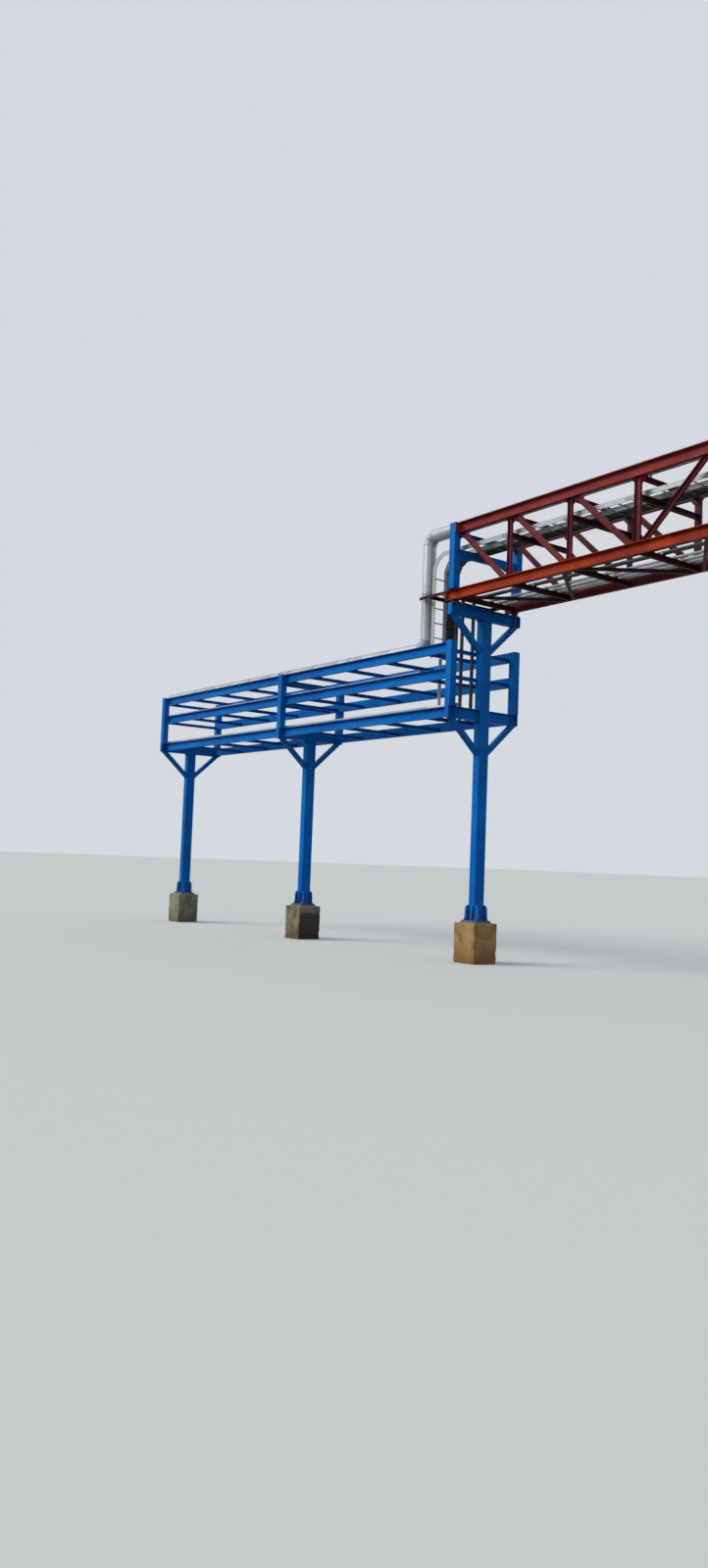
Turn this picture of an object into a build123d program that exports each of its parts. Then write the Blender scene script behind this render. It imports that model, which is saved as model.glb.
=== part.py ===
from build123d import *
import math
import os

# Steel pipe bridge on four T-shaped columns, millimetres, +Z up, +X along the run.
# The origin lies at ground level under the middle of the run, midway between its two sides.
# Frames A, B and C carry a rack of three tiers. The columns at C and D carry a lattice truss.

# Run of the bridge
bay_length = 6000.0
rack_bays = 2
truss_panel = 1470.0
truss_panels = 6

# Levels
lower_arm_top = 4950.0
mid_tier_top = 5710.0
top_tier_top = 6225.0
upper_arm_top = 6965.0

# Foundations and column feet
pedestal_size = 600.0
pedestal_height = 775.0
pedestal_chamfer = 25.0
grout_size = 470.0
grout_thickness = 25.0
grout_taper = 20.0
base_plate_size = 400.0
base_plate_thickness = 25.0
rib_height = 300.0
rib_thickness = 12.0
rib_tip_height = 60.0
rib_spacing = 90.0
rib_edge_margin = 15.0

# Columns, two channels welded toe to toe
column_depth = 250.0
column_width = 160.0
column_web = 7.0
column_flange = 14.0
cap_plate_thickness = 12.0
cap_plate_margin = 20.0

# Cross arms, rolled beams
arm_depth = 225.0
arm_width = 110.0
arm_web = 7.0
arm_flange = 12.0
arm_end_plate = 10.0
stiffener_thickness = 8.0

# Knee braces under the arms
knee_size = 100.0
knee_reach = 690.0
knee_drop = 620.0

# Posts on the arms
post_size = 150.0
post_centre = 850.0
post_wall = 8.0
post_cap_thickness = 6.0

# Rack beams, channels with their toes outward
beam_depth = 200.0
beam_flange_width = 75.0
beam_web = 6.5
beam_flange = 11.0

# Cross rungs between the rack beams
rung_depth = 75.0
rung_width = 40.0
rung_wall = 6.0
rung_count = 8
first_rung = 1430.0
last_rung_setback = 770.0

# Truss
bearing_height = 80.0
bearing_length = 150.0
bearing_plate = 12.0
bearing_core = 60.0
truss_height = 1500.0
chord_depth = 200.0
chord_flange_width = 75.0
chord_web = 6.5
chord_flange = 11.0
chord_overhang = 230.0
chord_end_plate = 12.0
web_member_width = 100.0
web_member_depth = 50.0
web_member_wall = 6.0
centre_post_width = 125.0
gusset_thickness = 8.0
gusset_rise = 115.0
gusset_width = 330.0
gusset_lap = 120.0
member_clearance = 6.0

# Cross members of the truss
tie_size = 75.0
tie_thickness = 8.0
floor_beam_depth = 100.0
floor_beam_width = 50.0
floor_beam_wall = 6.0
brace_size = 65.0
brace_thickness = 6.0
brace_node_offset = 110.0

# Portals at both ends of the truss
portal_foot_thickness = 12.0
portal_foot_margin = 15.0
portal_beam_depth = 150.0
portal_beam_width = 75.0
portal_beam_wall = 8.0
haunch_reach = 345.0
haunch_drop = 140.0
haunch_plate = 12.0

# Carried services
fit_gap = 0.3
main_pipe_diameter = 270.0
main_pipe_y = -620.0
main_pipe_bend = 230.0
riser_setback = 1025.0
truss_pipe_drop = 25.0
mid_pipe_diameter = 200.0
slim_pipe_diameter = 75.0
tier_pipe_clearance = 20.0
pipe_end_overrun = 150.0
mid_pipe_setback = 60.0
drop_pipe_y = -430.0
floor_pipe_diameters = (60.0, 75.0, 95.0)
floor_pipe_y = (160.0, 390.0, 605.0)
floor_pipe_overrun = 80.0
dark_pipe_diameter = 76.0
dark_pipe_y = (-450.0, -165.0)
dark_pipe_bend = 130.0
main_pipe_wall = 50.0
mid_pipe_wall = 40.0
slim_pipe_wall = 20.0
floor_pipe_wall = 20.0
dark_pipe_wall = 5.0
bend_mitres = 3

# Cable ladders side by side on their riser and through the truss, cables on the far one
ladder_rise = 1000.0
ladder_count = 2
ladder_spacing = 10.0
ladder_rail_depth = 90.0
ladder_rail_thickness = 15.0
ladder_width = 320.0
ladder_near_y = -660.0
ladder_rung_size = 20.0
ladder_rung_lift = 15.0
ladder_rung_pitch = 300.0
ladder_bend = 300.0
ladder_rung_margin = 100.0
cable_diameter = 75.0
cable_count = 3
cable_pitch = 90.0

# Riser bracket, angles cantilevered from the truss end
bracket_size = 65.0
bracket_thickness = 6.0

# Places that follow from the sizes above
sides = (-1, 1)
truss_length = truss_panels * truss_panel
run_length = rack_bays * bay_length + truss_length
rack_start = -run_length / 2
truss_start = rack_start + rack_bays * bay_length
truss_end = run_length / 2
rack_frames = [rack_start + i * bay_length for i in range(rack_bays + 1)]
tall_frames = [truss_start, truss_end]
node_places = [truss_start + i * truss_panel for i in range(truss_panels + 1)]
web_line = post_centre - post_size / 2
arm_half_length = post_centre + post_size / 2
pedestal_top = pedestal_height + grout_thickness
column_foot = pedestal_top + base_plate_thickness
lower_arm_bottom = lower_arm_top - arm_depth
upper_arm_bottom = upper_arm_top - arm_depth
tier_tops = {"bottom": lower_arm_top, "mid": mid_tier_top, "top": top_tier_top}
chord_bottom = upper_arm_top + bearing_height
chord_top = chord_bottom + chord_depth
truss_top = chord_bottom + truss_height
upper_chord_bottom = truss_top - chord_depth
truss_pipe_level = truss_top - truss_pipe_drop
ladder_level = chord_bottom + ladder_rise
gusset_line = web_line - gusset_thickness
tie_top = truss_pipe_level - main_pipe_diameter / 2 - fit_gap
riser_x = truss_start - riser_setback
rung_top = top_tier_top - beam_depth + rung_depth
rack_pipe_level = rung_top + fit_gap + main_pipe_diameter / 2
last_rung_x = truss_start - last_rung_setback
rung_pitch = (last_rung_x - rack_start - first_rung) / (rung_count - 1)
column_tie_x = truss_start - column_width / 2 - rung_width
ladder_back_x = last_rung_x - fit_gap
ladder_pitch = ladder_width + ladder_spacing
ladder_middles = [ladder_near_y + ladder_width / 2 + i * ladder_pitch for i in range(ladder_count)]
ladder_head_z = ladder_level - ladder_bend


def channel_section(depth, width, web, flange):
    # Rolled channel, back of the web on the local Y axis, toes toward local +X.
    half = depth / 2
    with BuildSketch() as section:
        with BuildLine():
            Polyline(
                (0, -half), (width, -half), (width, -half + flange), (web, -half + flange),
                (web, half - flange), (width, half - flange), (width, half), (0, half),
                close=True,
            )
        make_face()
    return section.sketch


def beam_section(depth, width, web, flange):
    # Rolled I-beam about its own centre, depth along local Y.
    with BuildSketch() as section:
        Rectangle(width, depth)
        with Locations((-(width + web) / 4, 0), ((width + web) / 4, 0)):
            Rectangle((width - web) / 2, depth - 2 * flange, mode=Mode.SUBTRACT)
    return section.sketch


def box_section(width, depth, wall_x, wall_y):
    # Two channels toe to toe, closed into a box.
    with BuildSketch() as section:
        Rectangle(width, depth)
        Rectangle(width - 2 * wall_x, depth - 2 * wall_y, mode=Mode.SUBTRACT)
    return section.sketch


def angle_section(leg, thickness):
    # Equal angle with its heel at the local origin, legs toward local +X and +Y.
    with BuildSketch() as section:
        with BuildLine():
            Polyline(
                (0, 0), (leg, 0), (leg, thickness), (thickness, thickness),
                (thickness, leg), (0, leg),
                close=True,
            )
        make_face()
    return section.sketch


def bend_corners(bend):
    # Corners of a quarter bend of mitred gores, as (along, off) from its start. The gores touch
    # the arc of the bend, with half a gore at each end, as sheet cladding is cut.
    step = 90 / bend_mitres
    reach = bend / math.cos(math.radians(step / 2))
    turns = [math.radians(step * (i + 0.5)) for i in range(bend_mitres)]
    middle = [(reach * math.sin(turn), bend - reach * math.cos(turn)) for turn in turns]
    return [(0, 0)] + middle + [(bend, bend)]


def save(part, node):
    # Label a finished piece and write it as one STEP file.
    part.label = node
    export_step(part, f"parts/{node}.step")


def pedestal(x):
    # Concrete block with chamfered arrises and a thinner bed of grout on top.
    with BuildPart() as block:
        with Locations((x, 0, 0)):
            Box(pedestal_size, pedestal_size, pedestal_height,
                align=(Align.CENTER, Align.CENTER, Align.MIN))
        chamfer(block.edges().filter_by(Axis.Z), pedestal_chamfer)
        with BuildSketch(Plane.XY.offset(pedestal_height)):
            with Locations((x, 0)):
                Rectangle(grout_size, grout_size)
        extrude(amount=grout_thickness, taper=grout_taper)
    return block.part


def base_shoe(x):
    # Base plate with pairs of sloped ribs on the four faces of the column.
    tip = base_plate_size / 2 - rib_edge_margin
    with BuildPart() as shoe:
        with BuildSketch(Plane.XY.offset(pedestal_top)):
            with Locations((x, 0)):
                Rectangle(base_plate_size, base_plate_size)
        extrude(amount=base_plate_thickness)
        for turn, face in ((0, column_width / 2), (90, column_depth / 2),
                           (180, column_width / 2), (270, column_depth / 2)):
            for shift in (-rib_spacing / 2, rib_spacing / 2):
                rib_plane = Plane(
                    origin=(x, 0, column_foot),
                    x_dir=Vector(1, 0, 0).rotate(Axis.Z, turn),
                    z_dir=Vector(0, -1, 0).rotate(Axis.Z, turn),
                )
                with BuildSketch(rib_plane.offset(shift)):
                    with BuildLine():
                        Polyline(
                            (face, 0), (tip, 0), (tip, rib_tip_height), (face, rib_height),
                            close=True,
                        )
                    make_face()
                extrude(amount=rib_thickness / 2, both=True)
    return shoe.part


def column(x, arm_bottom):
    # Box of two channels from the base plate up to a cap plate under the arm.
    with BuildPart() as shaft:
        with BuildSketch(Plane.XY.offset(column_foot)):
            with Locations((x, 0)):
                add(box_section(column_width, column_depth, column_web, column_flange))
        extrude(amount=arm_bottom - cap_plate_thickness - column_foot)
        with BuildSketch(Plane.XY.offset(arm_bottom - cap_plate_thickness)):
            with Locations((x, 0)):
                Rectangle(column_width + 2 * cap_plate_margin, column_depth + 2 * cap_plate_margin)
        extrude(amount=cap_plate_thickness)
    return shaft.part


def arm(x, top, inner_end):
    # I-beam across the run with end plates, and stiffeners in line with what it carries.
    # With an inner end it is two brackets, one welded to each side of a column.
    stiffener_lines = (web_line + stiffener_thickness / 2, arm_half_length - post_wall)
    stiffener_size = (arm_width - arm_web) / 2
    with BuildPart() as beam:
        for side in sides:
            with BuildSketch(Plane(
                origin=(x, side * inner_end, top - arm_depth / 2),
                x_dir=(-side, 0, 0),
                z_dir=(0, side, 0),
            )):
                add(beam_section(arm_depth, arm_width, arm_web, arm_flange))
            extrude(amount=arm_half_length - inner_end)
            with BuildSketch(Plane(
                origin=(x, side * arm_half_length, top - arm_depth / 2),
                x_dir=(-side, 0, 0),
                z_dir=(0, side, 0),
            )):
                Rectangle(arm_width, arm_depth)
            extrude(amount=arm_end_plate)
            with Locations(*[
                (x + s * (arm_web + stiffener_size) / 2, side * y, top - arm_depth / 2)
                for s in sides for y in stiffener_lines
            ]):
                Box(stiffener_size, stiffener_thickness, arm_depth - 2 * arm_flange)
    return beam.part


def knees(places):
    # Sloping struts from the column faces to the undersides of the arms, ends cut to fit.
    slope = math.atan2(knee_drop, knee_reach)
    head = knee_size / 2 / math.sin(slope)
    foot = knee_size / 2 / math.cos(slope)
    face = column_depth / 2
    with BuildPart() as struts:
        for x, arm_bottom in places:
            for side in sides:
                with BuildSketch(Plane((x, 0, arm_bottom), x_dir=(0, side, 0), z_dir=(side, 0, 0))):
                    with BuildLine():
                        Polyline(
                            (face, -knee_drop - foot), (face, -knee_drop + foot),
                            (face + knee_reach - head, 0), (face + knee_reach + head, 0),
                            close=True,
                        )
                    make_face()
                extrude(amount=knee_size / 2, both=True)
    return struts.part


def rack_posts():
    # Pairs of box posts on the arm ends with thin caps.
    places = [(x, side * post_centre) for x in rack_frames for side in sides]
    with BuildPart() as uprights:
        with BuildSketch(Plane.XY.offset(lower_arm_top)):
            with Locations(*places):
                add(box_section(post_size, post_size, post_wall, post_wall))
        extrude(amount=top_tier_top - lower_arm_top)
        with BuildSketch(Plane.XY.offset(top_tier_top)):
            with Locations(*places):
                Rectangle(post_size, post_size)
        extrude(amount=post_cap_thickness)
    return uprights.part


def rack_beams(top, end_clearance):
    # One channel on each side of every bay, backs inward, cut between the frames.
    profile = channel_section(beam_depth, beam_flange_width, beam_web, beam_flange)
    with BuildPart() as beams:
        for x in rack_frames[:-1]:
            for side in sides:
                start = (x + end_clearance, side * web_line, top - beam_depth / 2)
                with BuildSketch(Plane(start, x_dir=(0, side, 0), z_dir=(1, 0, 0))):
                    add(profile)
                extrude(amount=bay_length - 2 * end_clearance)
    return beams.part


def rungs(top, with_frame_ties):
    # Cross channels between the backs of the rack beams, and ties between the posts.
    profile = channel_section(rung_depth, rung_width, rung_wall, rung_wall)
    level = top - beam_depth + rung_depth / 2
    places = [rack_start + first_rung + i * rung_pitch for i in range(rung_count)]
    if with_frame_ties:
        places += rack_frames[:-1] + [column_tie_x]
    with BuildPart() as bars:
        for x in places:
            start = (x, -web_line, level)
            with BuildSketch(Plane(start, x_dir=(1, 0, 0), z_dir=(0, 1, 0))):
                add(profile)
            extrude(amount=2 * web_line)
    return bars.part


def bearings():
    # Stools between the upper arms and the bottom chords.
    y = web_line + chord_flange_width / 2
    with BuildPart() as stools:
        for x in tall_frames:
            for side in sides:
                with Locations((x, side * y, upper_arm_top)):
                    Box(arm_width, bearing_length, bearing_plate,
                        align=(Align.CENTER, Align.CENTER, Align.MIN))
                    Box(bearing_core, bearing_length - 2 * bearing_plate, bearing_height,
                        align=(Align.CENTER, Align.CENTER, Align.MIN))
                with Locations((x, side * y, chord_bottom)):
                    Box(arm_width, bearing_length, bearing_plate,
                        align=(Align.CENTER, Align.CENTER, Align.MAX))
    return stools.part


def chords(level, x_from, x_to, plate_thickness, plate_width):
    # Near and far channels along the truss, backs inward, with plates on their ends.
    profile = channel_section(chord_depth, chord_flange_width, chord_web, chord_flange)
    with BuildPart() as pair:
        for side in sides:
            start = (x_from, side * web_line, level + chord_depth / 2)
            with BuildSketch(Plane(start, x_dir=(0, side, 0), z_dir=(1, 0, 0))):
                add(profile)
            extrude(amount=x_to - x_from)
            plate_y = side * (web_line + plate_width / 2)
            with Locations(
                (x_from - plate_thickness / 2, plate_y, level + chord_depth / 2),
                (x_to + plate_thickness / 2, plate_y, level + chord_depth / 2),
            ):
                Box(plate_thickness, plate_width, chord_depth)
    return pair.part


def truss_verticals():
    # Channels from chord to chord at the inner nodes, the middle one wider.
    with BuildPart() as members:
        for i, x in enumerate(node_places[1:-1], start=1):
            width = centre_post_width if 2 * i == truss_panels else web_member_width
            for side in sides:
                start = (x, side * web_line, chord_top)
                with BuildSketch(Plane(start, x_dir=(0, side, 0), z_dir=(0, 0, 1))):
                    add(channel_section(width, web_member_depth, web_member_wall, web_member_wall))
                extrude(amount=upper_chord_bottom - chord_top)
    return members.part


def half_width_at(i):
    # Half the width of the upright that stands at a truss node.
    if i in (0, truss_panels):
        return post_size / 2
    if 2 * i == truss_panels:
        return centre_post_width / 2
    return web_member_width / 2


def diagonal_ends(i):
    # Foot and head of the diagonal in panel i; they all fall toward the middle of the truss.
    clear_height = upper_chord_bottom - chord_top
    half_cut = web_member_width / 2 * math.hypot(truss_panel, clear_height) / clear_height
    left = node_places[i] + half_width_at(i) + member_clearance + half_cut
    right = node_places[i + 1] - half_width_at(i + 1) - member_clearance - half_cut
    if 2 * i < truss_panels:
        return right, left
    return left, right


def sloping_bar(foot, head, width):
    # Outline of a sloping bar between the chords, both ends cut level.
    clear_height = upper_chord_bottom - chord_top
    half_cut = width / 2 * math.hypot(head - foot, clear_height) / clear_height
    with BuildSketch() as outline:
        with BuildLine():
            Polyline(
                (foot - half_cut, 0), (foot + half_cut, 0),
                (head + half_cut, clear_height), (head - half_cut, clear_height),
                close=True,
            )
        make_face()
    return outline.sketch


def truss_diagonals():
    # One channel per panel and side, web against the gussets, toes outward.
    with BuildPart() as members:
        for i in range(truss_panels):
            foot, head = diagonal_ends(i)
            outer = sloping_bar(foot, head, web_member_width)
            inner = sloping_bar(foot, head, web_member_width - 2 * web_member_wall)
            for side in sides:
                face = Plane((0, side * web_line, chord_top), x_dir=(1, 0, 0), z_dir=(0, -1, 0))
                with BuildSketch(face):
                    add(outer)
                extrude(amount=-side * web_member_depth)
                with BuildSketch(face.offset(-side * web_member_wall)):
                    add(inner)
                extrude(amount=-side * (web_member_depth - web_member_wall), mode=Mode.SUBTRACT)
    return members.part


def truss_gussets():
    # Tapered plates behind the joints, lapped on the backs of the chords.
    low_lap = chord_depth - floor_beam_depth
    with BuildPart() as plates:
        for i, x in enumerate(node_places):
            wide = gusset_width / 2
            narrow = half_width_at(i) + member_clearance
            left = 0 if i == 0 else wide
            right = 0 if i == truss_panels else wide
            shapes = []
            if 0 < i < truss_panels:
                shapes.append((chord_top, 1, low_lap))
            shapes.append((upper_chord_bottom, -1, gusset_lap))
            for level, away, lap in shapes:
                with BuildSketch(Plane((x, gusset_line, level), x_dir=(1, 0, 0), z_dir=(0, -1, 0))):
                    with BuildLine():
                        Polyline(
                            (-left, -away * lap), (right, -away * lap), (right, 0),
                            (min(right, narrow), away * gusset_rise),
                            (-min(left, narrow), away * gusset_rise), (-left, 0),
                            close=True,
                        )
                    make_face()
                extrude(amount=-gusset_thickness)
        mirror(about=Plane.XZ)
    return plates.part


def cross_channels(places, half_length, top, depth, width, wall):
    # Level channels across the truss, backs toward the start of the run.
    profile = channel_section(depth, width, wall, wall)
    with BuildPart() as bars:
        for x in places:
            start = (x, -half_length, top - depth / 2)
            with BuildSketch(Plane(start, x_dir=(1, 0, 0), z_dir=(0, 1, 0))):
                add(profile)
            extrude(amount=2 * half_length)
    return bars.part


def cross_angles(places):
    # Level angles across the truss heads, one leg flat on top.
    with BuildPart() as bars:
        for x in places:
            start = (x - tie_size / 2, -gusset_line, tie_top)
            with BuildSketch(Plane(start, x_dir=(1, 0, 0), z_dir=(0, 1, 0))):
                add(angle_section(tie_size, tie_thickness))
            extrude(amount=2 * gusset_line)
    return bars.part


def plan_braces():
    # Zigzag of angles in the floor of the truss, from chord back to chord back.
    with BuildPart() as bars:
        for i in range(truss_panels):
            flip = 1 if i % 2 == 0 else -1
            x_from = node_places[i] + brace_node_offset
            x_to = node_places[i + 1] - brace_node_offset
            slant = math.hypot(x_to - x_from, 2 * web_line) / (2 * web_line)
            for strip, height in ((brace_size, brace_thickness), (brace_thickness, brace_size)):
                cut = strip * slant
                with BuildSketch(Plane.XY.offset(chord_bottom)):
                    with BuildLine():
                        Polyline(
                            (x_from, -flip * web_line), (x_from + cut, -flip * web_line),
                            (x_to, flip * web_line), (x_to - cut, flip * web_line),
                            close=True,
                        )
                    make_face()
                extrude(amount=height)
    return bars.part


def portal_posts():
    # Box posts on the ends of the bottom chords, with foot plates on the flanges.
    foot_length = post_size + 2 * portal_foot_margin
    with BuildPart() as uprights:
        for x in tall_frames:
            for side in sides:
                with BuildSketch(Plane.XY.offset(chord_top)):
                    with Locations((x, side * post_centre)):
                        Rectangle(foot_length, post_size)
                extrude(amount=portal_foot_thickness)
                with BuildSketch(Plane.XY.offset(chord_top + portal_foot_thickness)):
                    with Locations((x, side * post_centre)):
                        add(box_section(post_size, post_size, post_wall, post_wall))
                extrude(amount=truss_top - chord_top - portal_foot_thickness - post_cap_thickness)
                with BuildSketch(Plane.XY.offset(truss_top - post_cap_thickness)):
                    with Locations((x, side * post_centre)):
                        Rectangle(post_size, post_size)
                extrude(amount=post_cap_thickness)
    return uprights.part


def portal_beams():
    # Channels between the portal posts, with haunches of a plate and a sloping flange.
    profile = channel_section(portal_beam_depth, portal_beam_width, portal_beam_wall,
                              portal_beam_wall)
    soffit = ladder_level - portal_beam_depth
    haunch_slope = math.hypot(haunch_reach, haunch_drop)
    foot_cut = portal_beam_wall * haunch_slope / haunch_reach
    head_cut = portal_beam_wall * haunch_slope / haunch_drop
    with BuildPart() as heads:
        for x, inward in zip(tall_frames, (1, -1)):
            back = x + inward * portal_beam_width / 2
            start = (back, -web_line, ladder_level - portal_beam_depth / 2)
            with BuildSketch(Plane(start, x_dir=(-inward, 0, 0), z_dir=(0, 1, 0))):
                add(profile)
            extrude(amount=2 * web_line)
            for side in sides:
                corner = Plane((back, side * web_line, soffit), x_dir=(0, -side, 0),
                               z_dir=(-side, 0, 0))
                with BuildSketch(corner):
                    with BuildLine():
                        Polyline((0, 0), (haunch_reach, 0), (0, -haunch_drop), close=True)
                    make_face()
                extrude(amount=side * inward * haunch_plate)
                with BuildSketch(corner):
                    with BuildLine():
                        Polyline(
                            (0, -haunch_drop), (haunch_reach, 0),
                            (haunch_reach - head_cut, 0), (0, -haunch_drop + foot_cut),
                            close=True,
                        )
                    make_face()
                extrude(amount=side * inward * portal_beam_width)
    return heads.part


def riser_bracket():
    # Angles cantilevered from the chord ends, and a cross angle in front of the ladder.
    profile = angle_section(bracket_size, bracket_thickness)
    chord_end = truss_start - chord_overhang - chord_end_plate
    outer_y = web_line + chord_flange_width
    cross_length = 2 * (outer_y - bracket_size - fit_gap)
    with BuildPart() as frame:
        for side in sides:
            heel = Plane((chord_end, side * outer_y, chord_top), x_dir=(0, -side, 0),
                         z_dir=(side, 0, 0))
            with BuildSketch(heel):
                add(profile)
            extrude(amount=-side * (chord_end - riser_x))
        start = (ladder_back_x + fit_gap, -cross_length / 2, chord_top)
        with BuildSketch(Plane(start, x_dir=(1, 0, 0), z_dir=(0, 1, 0))):
            add(profile)
        extrude(amount=cross_length)
    return frame.part


def pipe_run(diameter, bore, y, level, x_from, x_to):
    # Straight pipe along the run, open at its ends; a bore of zero leaves it solid.
    with BuildPart() as run:
        with BuildSketch(Plane((x_from, y, level), x_dir=(0, 1, 0), z_dir=(1, 0, 0))):
            Circle(diameter / 2)
            if bore > 0:
                Circle(bore / 2, mode=Mode.SUBTRACT)
        extrude(amount=x_to - x_from)
    return run.part


def pipe_riser(diameter, x, y, z_from, z_to):
    # Straight upright pipe between closed ends.
    with BuildPart() as riser:
        with BuildSketch(Plane((x, y, z_from))):
            Circle(diameter / 2)
        extrude(amount=z_to - z_from)
    return riser.part


def pipe_elbow(diameter, start, bend, upward):
    # Quarter bend that leaves a level run upward, or closes an upright one into a run.
    x, y, z = start
    if upward:
        section = Plane(start, x_dir=(0, 1, 0), z_dir=(1, 0, 0))
        route = [(x + along, y, z + off) for along, off in bend_corners(bend)]
    else:
        section = Plane(start)
        route = [(x + off, y, z + along) for along, off in bend_corners(bend)]
    with BuildPart() as elbow:
        with BuildLine() as centreline:
            Polyline(*route)
        with BuildSketch(section):
            Circle(diameter / 2)
        sweep(path=centreline.line, transition=Transition.RIGHT)
    return elbow.part


def joined(*pieces):
    # Lengths of one line that meet at butted joints a hair apart.
    return Compound(children=list(pieces))


def main_pipe():
    # The large lagged pipe: along the top tier, up the riser and through the truss.
    bore = main_pipe_diameter - 2 * main_pipe_wall
    foot_x = riser_x - main_pipe_bend
    foot_z = rack_pipe_level + main_pipe_bend
    head_z = truss_pipe_level - main_pipe_bend
    head_x = riser_x + main_pipe_bend
    return joined(
        pipe_run(main_pipe_diameter, bore, main_pipe_y, rack_pipe_level,
                 rack_start - pipe_end_overrun, foot_x - fit_gap),
        pipe_elbow(main_pipe_diameter, (foot_x, main_pipe_y, rack_pipe_level),
                   main_pipe_bend, True),
        pipe_riser(main_pipe_diameter, riser_x, main_pipe_y, foot_z + fit_gap, head_z - fit_gap),
        pipe_elbow(main_pipe_diameter, (riser_x, main_pipe_y, head_z), main_pipe_bend, False),
        pipe_run(main_pipe_diameter, bore, main_pipe_y, truss_pipe_level, head_x + fit_gap,
                 truss_end + pipe_end_overrun),
    )


def tier_pipes():
    # Lagged pipes behind the near beams: one on the mid rungs as far as the riser, a slim one
    # on the arms, and a slim upright one against the last rungs.
    near_y = -web_line + tier_pipe_clearance
    mid_seat = mid_tier_top - beam_depth + rung_depth + fit_gap
    run_start = rack_start - pipe_end_overrun
    return joined(
        pipe_run(mid_pipe_diameter, mid_pipe_diameter - 2 * mid_pipe_wall,
                 near_y + mid_pipe_diameter / 2, mid_seat + mid_pipe_diameter / 2,
                 run_start, riser_x - mid_pipe_setback),
        pipe_run(slim_pipe_diameter, slim_pipe_diameter - 2 * slim_pipe_wall,
                 near_y + slim_pipe_diameter / 2, lower_arm_top + fit_gap + slim_pipe_diameter / 2,
                 run_start, truss_start + pipe_end_overrun),
        pipe_riser(slim_pipe_diameter, ladder_back_x - slim_pipe_diameter / 2, drop_pipe_y,
                   lower_arm_top - beam_depth, top_tier_top - beam_depth - fit_gap),
    )


def floor_pipes():
    # Slim lagged pipes side by side on the floor beams of the truss.
    seat = chord_bottom + floor_beam_depth + fit_gap
    ends = (truss_start - floor_pipe_overrun, truss_end + pipe_end_overrun)
    return joined(*[
        pipe_run(diameter, diameter - 2 * floor_pipe_wall, y, seat + diameter / 2, *ends)
        for diameter, y in zip(floor_pipe_diameters, floor_pipe_y)
    ])


def dark_pipes():
    # Bare pipes that climb the ties at frame C and turn onto the floor of the truss.
    bore = dark_pipe_diameter - 2 * dark_pipe_wall
    x = column_tie_x - fit_gap - dark_pipe_diameter / 2
    level = chord_bottom + floor_beam_depth + fit_gap + dark_pipe_diameter / 2
    head_z = level - dark_pipe_bend
    pieces = []
    for y in dark_pipe_y:
        pieces += [
            pipe_riser(dark_pipe_diameter, x, y, lower_arm_bottom, head_z - fit_gap),
            pipe_elbow(dark_pipe_diameter, (x, y, head_z), dark_pipe_bend, False),
            pipe_run(dark_pipe_diameter, bore, y, level, x + dark_pipe_bend + fit_gap,
                     truss_end + pipe_end_overrun),
        ]
    return joined(*pieces)


def ladder_rail_section():
    # Flat rails of the cable ladders, seen along their length, rung side at zero.
    rail_offset = (ladder_width - ladder_rail_thickness) / 2
    with BuildSketch() as section:
        for middle in ladder_middles:
            for side in sides:
                with Locations((middle + side * rail_offset, ladder_rail_depth / 2)):
                    Rectangle(ladder_rail_thickness, ladder_rail_depth)
    return section.sketch


def ladder_riser_rails():
    # Upright ladder rails clipped to the last rung of the top tier.
    foot = (ladder_back_x, 0, top_tier_top - beam_depth)
    with BuildPart() as rails:
        with BuildSketch(Plane(foot, x_dir=(0, 1, 0), z_dir=(0, 0, 1))):
            add(ladder_rail_section())
        extrude(amount=ladder_head_z - fit_gap - foot[2])
    return rails.part


def ladder_bend_rails():
    # Mitred bend of the rails from upright to level.
    start = (ladder_back_x, 0, ladder_head_z)
    route = [(ladder_back_x + off, 0, ladder_head_z + along)
             for along, off in bend_corners(ladder_bend)]
    with BuildPart() as rails:
        with BuildLine() as centreline:
            Polyline(*route)
        with BuildSketch(Plane(start, x_dir=(0, 1, 0), z_dir=(0, 0, 1))):
            add(ladder_rail_section())
        sweep(path=centreline.line, transition=Transition.RIGHT)
    return rails.part


def ladder_run_rails():
    # Level rails on the portal beams and the ladder beams.
    x_from = ladder_back_x + ladder_bend + fit_gap
    with BuildPart() as rails:
        with BuildSketch(Plane((x_from, 0, ladder_level), x_dir=(0, 1, 0), z_dir=(1, 0, 0))):
            add(ladder_rail_section())
        extrude(amount=truss_end + pipe_end_overrun - x_from)
    return rails.part


def ladder_rungs():
    # Square bars between the rails, up the riser and along the run.
    length = ladder_width - 2 * ladder_rail_thickness - 2 * fit_gap
    lift = ladder_rung_lift + ladder_rung_size / 2
    foot_z = top_tier_top - beam_depth + ladder_rung_margin
    riser_count = int((ladder_head_z - foot_z) // ladder_rung_pitch) + 1
    run_x = ladder_back_x + ladder_bend + ladder_rung_margin
    run_count = int((truss_end - run_x) // ladder_rung_pitch) + 1
    places = [
        (ladder_back_x - lift, y, foot_z + i * ladder_rung_pitch)
        for y in ladder_middles for i in range(riser_count)
    ] + [
        (run_x + i * ladder_rung_pitch, y, ladder_level + lift)
        for y in ladder_middles for i in range(run_count)
    ]
    with BuildPart() as bars:
        with Locations(*places):
            Box(ladder_rung_size, length, ladder_rung_size)
    return bars.part


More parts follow.
